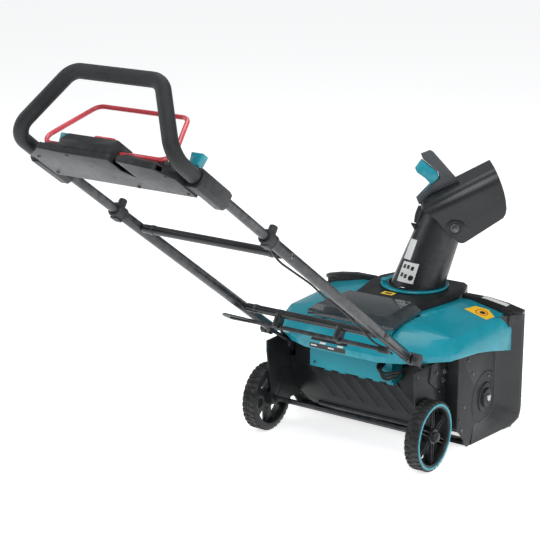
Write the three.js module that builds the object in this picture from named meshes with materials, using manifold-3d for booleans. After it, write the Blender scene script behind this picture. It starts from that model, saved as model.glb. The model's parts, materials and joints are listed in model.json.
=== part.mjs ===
// Cordless single-stage snow blower with a folding, telescoping handle.
// Millimetres, +Z up, +Y forward (auger side), +X to the operator's right.
import * as THREE from "three";
import { mergeVertices } from "three/addons/utils/BufferGeometryUtils.js";
import Module from "manifold-3d";

const wasm = await Module();
wasm.setup();

// ---- driving dimensions ----
const gap = 0.3; // running and assembly clearance
const wall = 4; // moulded wall
const wheelRadius = 83;
const wheelWidth = 38;
const wheelOuterX = 245;
const axleRadius = 6.5;
const innerPanelX = 205; // side plates beside the wheels
const outerPanelX = 240; // side plates beside the auger
const rimX = 282; // half the clearing width
const rimY = 361;
const stepY = 112; // where the side plates step out in front of the wheels
const augerY = 250;
const augerZ = 102;
const augerRadius = 88;
const scrollRadius = 96;
const roofZ = 282;
const roofSideZ = 256; // the roof's side edges, under the cover's shoulders
const chuteY = 320;
const domeTopZ = 326;
const ringRadius = 85;
const collarRadius = 68;
const chuteYaw = -55; // degrees, chute turned to the operator's right
const pivotU = 88; // deflector pivot, along the throw
const pivotZ = 489;
const hoodHalfWidth = 66;
const rackRadius = 90;
const motorY = 135;
const motorZ = 205;
const beltX = -249;
const motorPulleyRadius = 12;
const augerPulleyRadius = 42;
const tubeX = 188; // handle tube centre lines
const foldY = -30;
const foldZ = 272.4;
const handlePitch = 36.1; // degrees above level
const lowerTubeRadius = 12;
const upperTubeRadius = 10;
const gripRadius = 15;
const bailRadius = 3.8;
const bailPivotS = 1015; // along the handle from the fold
const bailPivotN = 6; // above the tube axis

const radians = THREE.MathUtils.degToRad;
const model = new THREE.Group();
const chute = new THREE.Group();
chute.position.set(0, chuteY, 0);
chute.rotation.z = radians(chuteYaw + 90); // its own +X is the throw direction
const handle = new THREE.Group();
handle.position.set(0, foldY, foldZ);
handle.rotation.x = radians(-handlePitch); // its own -Y runs up the tubes, +Z stands off them
model.add(chute, handle);

// ---- materials ----
const finish = (color, roughness, metalness = 0) => () =>
  new THREE.MeshStandardMaterial({ color, roughness, metalness });
const blackPlastic = finish(0x1d1f21, 0.55);
const greyPlastic = finish(0x55585d, 0.5);
const tealPlastic = finish(0x0a97a8, 0.38);
const redPlastic = finish(0xd2343c, 0.4);
const smokedPlastic = finish(0x2c3338, 0.15);
const blackMetal = finish(0x26282a, 0.4, 0.7);
const redMetal = finish(0xd93b45, 0.35, 0.2);
const bareSteel = finish(0xb8babd, 0.3, 1);
const rubber = finish(0x151515, 0.85);
const foam = finish(0x222427, 0.9);
const copper = finish(0x8a8f94, 0.4, 1);

function part(name, geometry, material, group = model) {
  const mesh = new THREE.Mesh(geometry, material());
  mesh.name = name;
  group.add(mesh);
}

// ---- solids: joining and cutting ----
function solid(geometry) {
  const bare = geometry.clone();
  bare.deleteAttribute("normal");
  bare.deleteAttribute("uv");
  const merged = mergeVertices(bare, 1e-4);
  const vertProperties = new Float32Array(merged.attributes.position.array);
  const triVerts = new Uint32Array(merged.index.array);
  return new wasm.Manifold(new wasm.Mesh({ numProp: 3, vertProperties, triVerts }));
}

function geometryOf(body) {
  const mesh = body.getMesh();
  const geometry = new THREE.BufferGeometry();
  geometry.setAttribute("position", new THREE.BufferAttribute(new Float32Array(mesh.vertProperties), 3));
  geometry.setIndex(new THREE.BufferAttribute(new Uint32Array(mesh.triVerts), 1));
  return geometry;
}

function join(...pieces) {
  return geometryOf(pieces.map(solid).reduce((a, b) => a.add(b)));
}

function cut(piece, ...tools) {
  return geometryOf(tools.map(solid).reduce((a, b) => a.subtract(b), solid(piece)));
}

function common(...pieces) {
  return geometryOf(pieces.map(solid).reduce((a, b) => a.intersect(b)));
}

// ---- basic shapes ----
function block(x0, x1, y0, y1, z0, z1) {
  const geometry = new THREE.BoxGeometry(x1 - x0, y1 - y0, z1 - z0);
  return geometry.translate((x0 + x1) / 2, (y0 + y1) / 2, (z0 + z1) / 2);
}

function outline(points) {
  return Array.isArray(points) ? new THREE.Shape(points.map(([a, b]) => new THREE.Vector2(a, b))) : points;
}

function extruded(points, depth) {
  return new THREE.ExtrudeGeometry(outline(points), { depth, bevelEnabled: false, curveSegments: 7 });
}

// outline in X and Y, raised along Z
function alongZ(points, z0, z1) {
  return extruded(points, z1 - z0).translate(0, 0, z0);
}

// outline in Y and Z, run along X
function alongX(points, x0, x1) {
  const turn = new THREE.Matrix4().set(0, 0, 1, 0, 1, 0, 0, 0, 0, 1, 0, 0, 0, 0, 0, 1);
  return extruded(points, x1 - x0).applyMatrix4(turn).translate(x0, 0, 0);
}

// outline in X and Z, run along Y
function alongY(points, y0, y1) {
  return extruded(points, y1 - y0).rotateX(Math.PI / 2).translate(0, y1, 0);
}

function discX(x0, x1, y, z, radius, sides = 20) {
  const geometry = new THREE.CylinderGeometry(radius, radius, x1 - x0, sides);
  return geometry.rotateZ(-Math.PI / 2).translate((x0 + x1) / 2, y, z);
}

function discY(x, y0, y1, z, radius, sides = 16) {
  return new THREE.CylinderGeometry(radius, radius, y1 - y0, sides).translate(x, (y0 + y1) / 2, z);
}

function discZ(x, y, z0, z1, radius, sides = 24) {
  const geometry = new THREE.CylinderGeometry(radius, radius, z1 - z0, sides);
  return geometry.rotateX(Math.PI / 2).translate(x, y, (z0 + z1) / 2);
}

function rod(from, to, radius, sides = 10) {
  const a = new THREE.Vector3(...from);
  const b = new THREE.Vector3(...to);
  const geometry = new THREE.CylinderGeometry(radius, radius, a.distanceTo(b), sides);
  const aim = new THREE.Quaternion();
  aim.setFromUnitVectors(new THREE.Vector3(0, 1, 0), b.clone().sub(a).normalize());
  return geometry.applyQuaternion(aim).translate(...a.add(b).multiplyScalar(0.5).toArray());
}

// a prism whose top is its plan scaled about (0, centreY)
function tapered(points, z0, z1, scaleX, scaleY, centreY) {
  const geometry = alongZ(points, z0, z1);
  const position = geometry.attributes.position;
  for (let i = 0; i < position.count; i += 1) {
    if (position.getZ(i) > (z0 + z1) / 2) {
      position.setX(i, position.getX(i) * scaleX);
      position.setY(i, centreY + (position.getY(i) - centreY) * scaleY);
    }
  }
  return geometry;
}

function scaled(points, scaleX, scaleY, centreY) {
  return points.map(([x, y]) => [x * scaleX, centreY + (y - centreY) * scaleY]);
}

function mirrored(geometry) {
  const flipped = geometry.clone().applyMatrix4(new THREE.Matrix4().makeScale(-1, 1, 1));
  if (!flipped.index) {
    return mirrored(geometryOf(solid(geometry)));
  }
  const index = flipped.index.array;
  for (let i = 0; i < index.length; i += 3) {
    [index[i], index[i + 1]] = [index[i + 1], index[i]];
  }
  return flipped;
}

// a path through corner points with rounded corners
function roundedPath(corners, radius) {
  const points = corners.map((corner) => new THREE.Vector3(...corner));
  const path = new THREE.CurvePath();
  let start = points[0];
  for (let i = 1; i < points.length - 1; i += 1) {
    const back = points[i - 1].clone().sub(points[i]).normalize();
    const on = points[i + 1].clone().sub(points[i]).normalize();
    const half = Math.acos(THREE.MathUtils.clamp(back.dot(on), -1, 1)) / 2;
    const reach = radius / Math.tan(half);
    const before = points[i].clone().addScaledVector(back, reach);
    const after = points[i].clone().addScaledVector(on, reach);
    path.add(new THREE.LineCurve3(start, before));
    path.add(new THREE.QuadraticBezierCurve3(before, points[i], after));
    start = after;
  }
  path.add(new THREE.LineCurve3(start, points[points.length - 1]));
  return path;
}

function sweep(path, radius, steps, sides = 10, boreRadius = 0) {
  const section = new THREE.Shape().absarc(0, 0, radius, 0, 2 * Math.PI);
  if (boreRadius) {
    section.holes.push(new THREE.Path().absarc(0, 0, boreRadius, 0, 2 * Math.PI, true));
  }
  const options = { extrudePath: path, steps, bevelEnabled: false, curveSegments: sides };
  return new THREE.ExtrudeGeometry(section, options);
}

// an arc band in Y and Z about a centre, angles in degrees from +Y
function bandShape(y, z, inner, outer, from, to) {
  const shape = new THREE.Shape();
  shape.absarc(y, z, outer, radians(from), radians(to), false);
  shape.absarc(y, z, inner, radians(to), radians(from), true);
  return shape;
}

// ---- side plates: step out round the wheels, flare to the mouth ----
function sidePlateBody() {
  const flareStart = 300;
  const plan = [
    [innerPanelX, -34], [innerPanelX, stepY], [outerPanelX, stepY], [outerPanelX, flareStart], [rimX, rimY],
    [rimX, rimY + 5], [rimX - wall, rimY + 5], [rimX - wall, rimY + 1], [outerPanelX - wall, flareStart + 2],
    [outerPanelX - wall, stepY + wall], [innerPanelX - wall, stepY + wall], [innerPanelX - wall, -34],
  ];
  const side = new THREE.Shape();
  side.moveTo(-34, 240);
  side.lineTo(-34, 215);
  side.lineTo(-16, 95);
  side.absarc(0, wheelRadius, 16, radians(165), radians(300), false);
  side.lineTo(stepY, 62);
  side.lineTo(140, 34);
  side.lineTo(166, 0);
  side.lineTo(rimY - 20, 0);
  side.lineTo(rimY + 5, 40);
  side.lineTo(rimY + 5, 270);
  side.lineTo(rimY - 2, 292);
  side.lineTo(334, 292);
  side.lineTo(334, roofSideZ);
  side.lineTo(60, roofSideZ);
  side.lineTo(54, 240);
  const bores = [
    discX(190, 290, 0, wheelRadius, axleRadius + 0.1, 24), discX(190, 290, augerY, augerZ, 16.3, 24),
  ];
  const bracket = alongX(
    [[38, 240], [30, 198], [66, 172], [106, 168], [106, 240]], innerPanelX - 1, innerPanelX + wall,
  );
  return cut(join(common(alongZ(plan, -1, 300), alongX(side, 190, 300)), bracket), ...bores);
}

function sidePlates() {
  const plate = sidePlateBody();
  const motorHole = discX(-250, -230, motorY, motorZ, 8, 16);
  part("side_plate_right", plate, blackPlastic);
  part("side_plate_left", cut(mirrored(plate), motorHole), blackPlastic);
}

// ---- auger housing: scroll behind the auger, roof with the chute hole, lips to the flared rim ----
function scrollSheet(half) {
  const sheet = new THREE.Shape();
  sheet.absarc(augerY, augerZ, scrollRadius + wall, radians(240), radians(150), true);
  sheet.lineTo(250, roofZ);
  sheet.lineTo(352, roofZ);
  sheet.lineTo(352, roofZ - wall);
  sheet.lineTo(252.5, roofZ - wall);
  sheet.absarc(augerY, augerZ, scrollRadius, radians(150), radians(240), false);
  return alongX(sheet, -half, half);
}

function lip() {
  const section = [
    [126, 284], [126, 321], [190, 319], [240, 311], [rimX, 300], [rimX, 292.3],
    [246, 292.3], [222, 277], [204, 284],
  ];
  const plan = [[126, 333], [238, 333], [268, 340], [rimX, 350], [rimX, rimY + 5], [126, rimY - 9]];
  const foot = block(126, 204, 340, 352, roofZ - 2, 300);
  return join(common(alongY(section, 290, 380), alongZ(plan, 270, 330)), foot);
}

function augerHousing() {
  const half = outerPanelX - wall - gap;
  const slope = [[212, roofZ], [half, roofSideZ], [half - 5, roofSideZ], [208, roofZ - wall]];
  const shoulder = alongY(slope, 250, 352);
  const corner = alongY([[212, roofZ], [212, 330], [270, 330], [270, roofSideZ], [half, roofSideZ]], 200, 333);
  const visor = alongZ([[-116, 350], [-92, 408], [92, 408], [116, 350]], roofZ - wall, roofZ);
  const throat = discZ(0, chuteY, roofZ - 20, roofZ + 20, 70, 32);
  const shell = cut(join(scrollSheet(half), visor), throat, corner, mirrored(corner));
  const edge = [[170, 0.4], [206, 0.4], [204, 6], [176, 9]];
  part("auger_housing", join(shell, shoulder, mirrored(shoulder), lip(), mirrored(lip())), blackPlastic);
  part("scraper_bar", alongX(edge, -half, half), blackMetal);
}

// ---- ribbed rear shroud between the side plates ----
function rearShroud() {
  const half = innerPanelX - wall - gap;
  const section = [
    [62, 244], [66, 150], [94, 72], [106, 48], [130, 44], [132, 50], [112, 56], [100, 74], [72, 151], [68, 244],
  ];
  const bead = discX(-140, 140, 106, 54, 8, 16);
  const corner = alongY([[142, 30], [230, 30], [230, 120]], 0, 200);
  const legRoom = block(186, 230, 40, 110, 176, 250);
  const ribs = [];
  for (let i = 0; i < 7; i += 1) {
    const x = -150 + i * 42;
    ribs.push(rod([x, 64, 166], [x + 62, 92, 84], 4, 6));
  }
  const body = join(alongX(section, -half, half), bead, ...ribs);
  part("rear_shroud", cut(body, corner, mirrored(corner), legRoom, mirrored(legRoom)), blackPlastic);
}

// ---- top cover: rim band, sloping shoulders, raised deck ----
const coverPlan = [
  [-246, 92], [-240, 72], [-195, 30], [-150, -5], [-100, -25], [100, -25], [150, -5], [195, 30], [240, 72],
  [246, 92], [250, 250], [259, 300], [265, 331], [-265, 331], [-259, 300], [-250, 250],
];
const domePlan = [
  [-94, 168], [94, 168], [122, 300], [122, 352], [98, 416], [-98, 416], [-122, 352], [-122, 300],
];

function coverForm(plan, low, band, crease, deck) {
  const shoulder = scaled(plan, 0.94, 0.9, 331);
  return [
    alongZ(plan, low, band),
    tapered(plan, band, crease, 0.94, 0.9, 331),
    tapered(shoulder, crease, deck, 0.62, 0.97, 331),
  ];
}

function topCover() {
  const inner = scaled(coverPlan, 0.987, 0.99, 331).map(([x, y]) => (y > 330 ? [x * 1.021, 360] : [x, y]));
  const sweepUp = [
    [-60, 150], [400, 150], [400, 196], [349, 199], [190, 233], [90, 245], [20, 243], [-60, 243],
  ];
  const body = cut(
    join(...coverForm(coverPlan, 190, 258, 290, 311)),
    join(...coverForm(inner, 180, 256, 287, 308)),
    alongX(sweepUp, -300, 300),
    alongZ(scaled(domePlan, 1.005, 1.005, 290), 280, 340),
    alongZ([[-112, 22], [112, 22], [112, 158], [-112, 158]], 280, 340),
  );
  part("top_cover", body, tealPlastic);
}

// ---- dome under the chute ----
function dome() {
  const outer = join(alongZ(domePlan, roofZ + gap, 318), tapered(domePlan, 318, domeTopZ, 0.94, 0.94, 290));
  const plan = scaled(domePlan, 0.965, 0.965, 290);
  const hollow = join(alongZ(plan, roofZ - 5, 316), tapered(plan, 316, domeTopZ - 3.5, 0.94, 0.94, 290));
  const hole = discZ(0, chuteY, 300, 340, collarRadius + 2, 32);
  part("chute_dome", cut(outer, hollow, hole), blackPlastic);
}

// ---- chute: collar, leaning tapered tube, turning ring, tooth rack ----
const chuteLean = 0.344;
const chuteLow = 332.3;
const chuteHigh = 560;

function chuteTube(inset) {
  const geometry = new THREE.CylinderGeometry(55 - inset, 69 - inset, chuteHigh - chuteLow, 24);
  geometry.rotateX(Math.PI / 2).translate(8, 0, (chuteHigh + chuteLow) / 2);
  const position = geometry.attributes.position;
  for (let i = 0; i < position.count; i += 1) {
    position.setX(i, position.getX(i) + chuteLean * (position.getZ(i) - chuteLow));
  }
  return geometry;
}

function chuteParts() {
  const outer = join(chuteTube(0), discZ(0, 0, 303, chuteLow + 1, collarRadius), discZ(0, 0, 317, 322, 76));
  const above = [[-60, 531], [14, 531], [107, 452], [240, 452], [240, 640], [-60, 640]];
  const bore = [discZ(0, 0, 300, chuteLow + 3, collarRadius - 4), chuteTube(3.5).translate(-1, 0, -1)];
  part("chute", cut(outer, ...bore, alongY(above, -90, 90)), blackPlastic, chute);
  const ring = cut(discZ(0, 0, domeTopZ + gap, 332, ringRadius, 28), discZ(0, 0, 320, 340, collarRadius + gap));
  part("chute_ring", ring, tealPlastic, chute);
  const pin = new THREE.LatheGeometry([[0, 332.3], [7, 332.3], [7, 336], [9, 339], [7, 344], [0, 345]]
    .map(([r, z]) => new THREE.Vector2(r, z)), 12).rotateX(Math.PI / 2).translate(-75, 0, 0);
  part("chute_lock_pin", pin, tealPlastic, chute);
}

function rack() {
  const strip = bandShape(pivotU, pivotZ, rackRadius - 7, rackRadius, 153, 186);
  const teeth = [];
  for (let i = 0; i < 10; i += 1) {
    const angle = radians(154 + i * 2.6);
    const reach = rackRadius + 0.6;
    const u = pivotU + reach * Math.cos(angle);
    teeth.push(
      rod([u, -4.5, pivotZ + reach * Math.sin(angle)], [u, 4.5, pivotZ + reach * Math.sin(angle)], 2.6, 3),
    );
  }
  const stop = alongY([[-14, 486], [4, 482], [6, 462], [-2, 464]], -6, 6);
  const whole = join(alongY(strip, -6, 6), ...teeth, stop);
  part("deflector_rack", cut(whole, chuteTube(-0.4)), blackPlastic, chute);
}

// ---- deflector hood: rounded channel cut to its side outline ----
function hoodOutline(inset) {
  const shape = new THREE.Shape();
  const radius = rackRadius + 0.6 - inset;
  shape.absarc(pivotU, pivotZ, radius, radians(151.4), radians(126), true);
  if (inset) {
    shape.lineTo(101, 588);
    shape.lineTo(190, 633);
    shape.lineTo(260, 600);
    shape.lineTo(240, 440);
    shape.lineTo(100, 420);
    shape.lineTo(-30, 500);
    return shape;
  }
  shape.lineTo(100, 592);
  shape.lineTo(182, 634);
  shape.lineTo(198, 596);
  shape.lineTo(208, 562);
  shape.lineTo(212, 535);
  shape.lineTo(204, 514);
  shape.lineTo(115, 454);
  shape.lineTo(104, 451);
  shape.lineTo(94, 456);
  shape.lineTo(65, 483);
  shape.lineTo(42, 510);
  return shape;
}

function hoodChannel(half, top, round) {
  const shape = new THREE.Shape();
  shape.moveTo(-half, -100);
  shape.lineTo(half, -100);
  shape.lineTo(half, top - round);
  shape.absarc(half - round, top - round, round, 0, Math.PI / 2, false);
  shape.absarc(round - half, top - round, round, Math.PI / 2, Math.PI, false);
  const geometry = extruded(shape, 400).translate(0, 0, -170);
  const tilt = radians(28);
  const place = new THREE.Matrix4().makeBasis(
    new THREE.Vector3(0, 1, 0),
    new THREE.Vector3(-Math.sin(tilt), 0, Math.cos(tilt)),
    new THREE.Vector3(Math.cos(tilt), 0, Math.sin(tilt)),
  );
  return geometry.applyMatrix4(place).translate(pivotU, 0, pivotZ);
}

function deflectorParts() {
  const outer = common(alongY(hoodOutline(0), -90, 90), hoodChannel(hoodHalfWidth, 92, 44));
  const inner = common(alongY(hoodOutline(3.5), -90, 90), hoodChannel(hoodHalfWidth - 3.5, 89, 41));
  const notch = alongY(bandShape(pivotU, pivotZ, 60, 110, 122, 160), -8, 8);
  const holes = discY(pivotU, -90, 90, pivotZ, 6.3, 16);
  part("deflector_hood", cut(outer, inner, notch, holes), blackPlastic, chute);
  const trigger = [[10, 646], [-6, 623], [-2, 615], [18, 601], [30, 588], [36, 586], [52, 601], [49, 615]];
  const body = [
    [8, 658], [31, 666.5], [38, 663], [100, 593.5], [70, 580.3], [36, 564.4], [23, 554.3],
    [13, 543.6], [5, 535.5],
    [-1, 548], [33, 585], [54, 601], [51, 616], [12, 648.5],
  ];
  const fingerSlot = alongY(
    [[9, 650], [38, 646], [66, 606], [60, 590], [20, 566], [-20, 570], [-20, 640]], -10.5, 10.5,
  );
  const armSlot = alongY([[60, 600], [60, 560], [-10, 520], [-30, 560], [20, 600]], -5, 5);
  part("deflector_handle", cut(alongY(body, -14, 14), fingerSlot, armSlot), greyPlastic, chute);
  const arm = [[38, 592], [46, 590], [14, 548.5], [5, 540.5], [0, 546]];
  const pawl = cut(alongY(arm, -4.5, 4.5), discY(pivotU, -20, 20, pivotZ, rackRadius + 5.6, 60));
  part("deflector_trigger", join(alongY(trigger, -10, 10), pawl), tealPlastic, chute);
  const bolts = [-1, 1].map((side) => {
    const spans = [[60.2, 72], [66.3, 70]].map(([a, b]) => [side * a, side * b].sort((p, q) => p - q));
    return join(discY(pivotU, ...spans[0], pivotZ, 6, 12), discY(pivotU, ...spans[1], pivotZ, 11, 6));
  });
  part("deflector_pivot_bolt_right", bolts[0], blackMetal, chute);
  part("deflector_pivot_bolt_left", bolts[1], blackMetal, chute);
}

// ---- smoked battery lid, bay and packs ----
function batteryParts() {
  const lidPlan = [[-118, 14], [118, 14], [110, 160], [-110, 160]];
  const lid = cut(
    join(alongZ(lidPlan, 311.3, 322), tapered(lidPlan, 322, 340, 0.8, 0.9, 90)),
    join(
      alongZ(scaled(lidPlan, 0.97, 0.96, 87), 300, 321),
      tapered(scaled(lidPlan, 0.97, 0.96, 87), 321, 337, 0.8, 0.9, 90),
    ),
  );
  const barrel = cut(discX(-60, 60, 163.5, 315, 3.6, 14), discX(-70, 70, 163.5, 315, 1.8, 12));
  part("battery_lid", join(lid, barrel), smokedPlastic);
  part("lid_hinge_pin", discX(-62, 62, 163.5, 315, 1.5, 12), bareSteel);
  for (const [side, name] of [[-1, "left"], [1, "right"]]) {
    const pack = join(
      block(-48, 48, 34, 146, 255.4, 300), block(-38, 38, 44, 136, 299, 310),
      block(-14, 14, 60, 76, 309, 313),
    );
    part(`battery_pack_${name}`, pack.translate(side * 52, 0, 0), greyPlastic);
  }
}

// ---- drive: motor, controller, belt and pulleys ----
function ringX(x0, x1, y, z, outer, inner, sides = 28) {
  return cut(discX(x0, x1, y, z, outer, sides), discX(x0 - 5, x1 + 5, y, z, inner, sides));
}

function beltLoop(grow) {
  const dy = augerY - motorY;
  const dz = augerZ - motorZ;
  const along = Math.atan2(dz, dy);
  const lean = Math.acos((augerPulleyRadius - motorPulleyRadius) / Math.hypot(dy, dz));
  const shape = new THREE.Shape();
  shape.absarc(
    augerY, augerZ, augerPulleyRadius + grow, along + Math.PI - lean,
    along - Math.PI + lean + 2 * Math.PI, true,
  );
  shape.absarc(motorY, motorZ, motorPulleyRadius + grow, along + Math.PI + lean, along + Math.PI - lean, true);
  return shape;
}

function driveParts() {
  const can = cut(
    discX(-60, 30, motorY, motorZ, 40, 24), discX(-52, 22, motorY, motorZ, 33, 20),
    discX(-70, 40, motorY, motorZ, 6.5, 16),
  );
  part("motor_stator", can, copper);
  const rotor = join(
    discX(-48, 18, motorY, motorZ, 29, 24), discX(-256, 38, motorY, motorZ, 6, 16),
    discX(-254, -244, motorY, motorZ, motorPulleyRadius, 20),
  );
  part("motor_rotor", rotor, bareSteel);
  part("controller", block(60, 182, 75, 130, 170, 240), blackPlastic);
  const belt = cut(alongX(beltLoop(3), beltX - 4, beltX + 4), alongX(beltLoop(0.8), beltX - 8, beltX + 8));
  part("drive_belt", belt, rubber);
  part("auger_pulley", ringX(beltX - 5, beltX + 5, augerY, augerZ, augerPulleyRadius, 8.2, 24), bareSteel);
  const coverShape = [
    [114, 168], [114, 228], [170, 231], [297, 150], [300.4, 98], [280, 50], [224, 50], [196, 80],
  ];
  const hollowShape = [
    [117, 170], [117, 225], [169, 228], [294, 148], [297.8, 98], [278, 53], [226, 53], [199, 81],
  ];
  const cover = cut(alongX(coverShape, -266, -outerPanelX - gap), alongX(hollowShape, -262, -200));
  part("belt_cover", cover, blackPlastic);
}

// ---- lower housing: battery bay above, electronics tub with screw lugs below ----
function lowerHousing() {
  const tub = cut(block(-105, 122, 6, 56, 186, 252), block(-101, 118, 10, 52, 190, 247));
  const bay = cut(block(-108, 108, 26, 154, 247, 306), block(-104, 104, 30, 150, 255, 320));
  const vent = block(-30, 60, 40, 80, 200, 230);
  const lugs = [-70, -30, 26, 66, 104].map((x) => cut(
    block(x - 9, x + 9, 30, 54, 172, 187), discZ(x, 42, 160, 200, 3, 10),
  ));
  part("lower_housing", cut(join(tub, bay, ...lugs), vent), tealPlastic);
}

// ---- auger: shaft, flights, throwing paddle, bearings ----
function twisted(geometry, perMillimetre, from) {
  const position = geometry.attributes.position;
  for (let i = 0; i < position.count; i += 1) {
    const angle = (position.getX(i) - from) * perMillimetre;
    const y = position.getY(i);
    const z = position.getZ(i);
    position.setY(i, y * Math.cos(angle) - z * Math.sin(angle));
    position.setZ(i, y * Math.sin(angle) + z * Math.cos(angle));
  }
  return geometry;
}

function augerParts() {
  part("auger_shaft", discX(-258, 254, augerY, augerZ, 8, 20), bareSteel);
  const hub = (x0, x1) => discX(x0, x1, 0, 0, 20, 24);
  const bore = discX(-300, 300, 0, 0, 8.3, 20);
  const strip = new THREE.BoxGeometry(190, 8, 2 * augerRadius, 10, 1, 2).translate(136, 0, 0);
  const flight = cut(join(twisted(strip, 0.018, 41), hub(41, 231)), bore).translate(0, augerY, augerZ);
  part("auger_flight_right", flight, rubber);
  part("auger_flight_left", mirrored(flight), rubber);
  const paddle = cut(join(block(-38, 38, -5, 5, -augerRadius, augerRadius), hub(-40, 40)), bore);
  part("auger_paddle", paddle.translate(0, augerY, augerZ), rubber);
  for (const [side, name] of [[-1, "left"], [1, "right"]]) {
    const inner = side * 233;
    const outer = side * (outerPanelX + 3);
    const span = [inner, outer].sort((a, b) => a - b);
    part(`auger_bearing_${name}`, ringX(...span, augerY, augerZ, 16, 8.2, 20), bareSteel);
  }
  const housing = cut(
    join(discX(240.3, 243.5, augerY, augerZ, 36, 28), discX(240.3, 250, augerY, augerZ, 24, 24)),
    discX(230, 244, augerY, augerZ, 16.3, 24), discX(230, 260, augerY, augerZ, 9, 20),
  );
  part("bearing_housing", housing, blackPlastic);
}

// ---- wheels and axle ----
function wheelBody() {
  const inner = wheelOuterX - wheelWidth;
  const profile = [
    [axleRadius + 0.3, inner + 1], [18, inner + 1], [18, inner + 12], [64, inner + 12], [64, inner], [78, inner],
    [wheelRadius, inner + 5], [wheelRadius, wheelOuterX - 5], [78, wheelOuterX],
    [66, wheelOuterX], [64, inner + 17],
    [18, inner + 17], [18, wheelOuterX - 3], [axleRadius + 0.3, wheelOuterX - 3], [axleRadius + 0.3, inner + 1],
  ];
  const disc = new THREE.LatheGeometry(profile.map(([r, x]) => new THREE.Vector2(r, x)), 20);
  const pieces = [disc.rotateZ(-Math.PI / 2)];
  for (let i = 0; i < 6; i += 1) {
    pieces.push(block(inner + 14, wheelOuterX - 8, 16, 66, -5, 5).rotateX((i * Math.PI) / 3 + Math.PI / 2));
  }
  const windows = [];
  for (let i = 0; i < 6; i += 1) {
    windows.push(discX(inner - 5, wheelOuterX, 44, 0, 11, 12).rotateX((i * Math.PI) / 3 + Math.PI / 3));
  }
  return cut(join(...pieces), ...windows).translate(0, 0, wheelRadius);
}

function wheelParts() {
  const wheel = wheelBody();
  const cap = join(
    discX(wheelOuterX - 2.5, 251, 0, wheelRadius, 12, 20), discX(250, 253, 0, wheelRadius, 8, 20),
  );
  const axleEnd = discX(200, 249, 0, wheelRadius, axleRadius + 0.1, 24);
  part("wheel_right", wheel, rubber);
  part("wheel_left", mirrored(wheel), rubber);
  part("axle_cap_right", cut(cap, axleEnd), blackPlastic);
  part("axle_cap_left", mirrored(cut(cap, axleEnd)), blackPlastic);
  part("axle", discX(-248.5, 248.5, 0, wheelRadius, axleRadius, 24), blackMetal);
}

// ---- handle legs, bolted inside the side plates, and the fold knobs ----
function legBody() {
  return join(
    alongX(bandShape(foldY, foldZ, 4.3, 15, 0, 359.9), 191, 197),
    rod([195.6, foldY + 10, foldZ - 8], [195.6, foldY + 26, foldZ - 19], 4.8, 12),
    rod([195.6, foldY + 22, foldZ - 16.5], [194.5, 60, 211], 4.8, 12),
    alongX([[52, 222], [52, 204], [66, 188], [96, 188], [96, 206], [80, 222]], 194.5, innerPanelX - wall - gap),
  );
}

function legParts() {
  const knob = join(discX(202, 216, foldY, foldZ, 15, 8), discX(200.4, 203, foldY, foldZ, 4, 12));
  part("handle_leg_right", legBody(), blackMetal);
  part("handle_leg_left", mirrored(legBody()), blackMetal);
  part("fold_knob_right", knob, blackPlastic);
  part("fold_knob_left", mirrored(knob), blackPlastic);
}

// ---- lower handle: tubes, cross bars, height latches, clean-out tool ----
function tubeY(x, y0, y1, outer, inner, sides = 16) {
  return cut(discY(x, y0, y1, 0, outer, sides), discY(x, y0 - 5, y1 + 5, 0, inner, sides));
}

function lowerTube() {
  const eye = join(block(tubeX - 8, tubeX + 2.2, -34, 12, -11, 11), discX(tubeX, tubeX + 9.8, 0, 0, 4, 16));
  return join(tubeY(tubeX, -690, -20, lowerTubeRadius, upperTubeRadius + gap), eye);
}

// a collar with a push knob at the top of the lower tube, and a latch foot under it
function heightClamp() {
  const collar = join(
    discY(tubeX, -706, -672, 0, 15.5, 16), discZ(tubeX, -688, 10, 30, 9, 14),
    block(tubeX - 9, tubeX + 9, -700, -676, -18, 0),
  );
  return cut(
    collar, discY(tubeX, -690.3, -660, 0, lowerTubeRadius + gap, 16),
    discY(tubeX, -720, -660, 0, upperTubeRadius + gap, 16),
  );
}

function cleanOutTool() {
  const blade = [
    [-235, -6], [-222, -20], [-160, -16], [-150, -5], [-150, 5], [-160, 16], [-222, 20], [-235, 6],
  ];
  const shaft = join(alongZ(blade, -1.5, 1.5), discX(-155, 196, 0, 0, 5, 10), discX(190, 214, 0, 0, 8, 12));
  return shaft.translate(0, -146, -30);
}

function toolClip(x) {
  return cut(
    block(x - 7, x + 7, -160, -136, -37, -8),
    discX(x - 10, x + 10, -146, -30, 5.4, 16), block(x - 10, x + 10, -151.2, -140.8, -50, -30),
  );
}

function lowerHandleParts() {
  const barEnd = tubeX - lowerTubeRadius - gap;
  part("lower_tube_right", lowerTube(), blackMetal, handle);
  part("lower_tube_left", mirrored(lowerTube()), blackMetal, handle);
  part("height_clamp_right", heightClamp(), blackPlastic, handle);
  part("height_clamp_left", mirrored(heightClamp()), blackPlastic, handle);
  part("upper_cross_bar", discX(-barEnd, barEnd, -609, 0, 9.5, 14), blackMetal, handle);
  const bar = join(discX(-barEnd, barEnd, -152, 0, 9.5, 14), toolClip(-82), toolClip(82));
  part("lower_cross_bar", bar, blackMetal, handle);
  part("clean_out_tool", cleanOutTool(), blackPlastic, handle);
}

// ---- upper handle: tubes, clamps, control panel, grip loop ----
const panelPlan = [
  [-169, -922], [169, -922], [169, -1000], [140, -1034], [62, -1046], [-70, -1046], [-120, -1052], [-169, -1010],
];
const panelNotch = [[44, -1060], [62, -1060], [66, -975], [44, -1000]];

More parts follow.
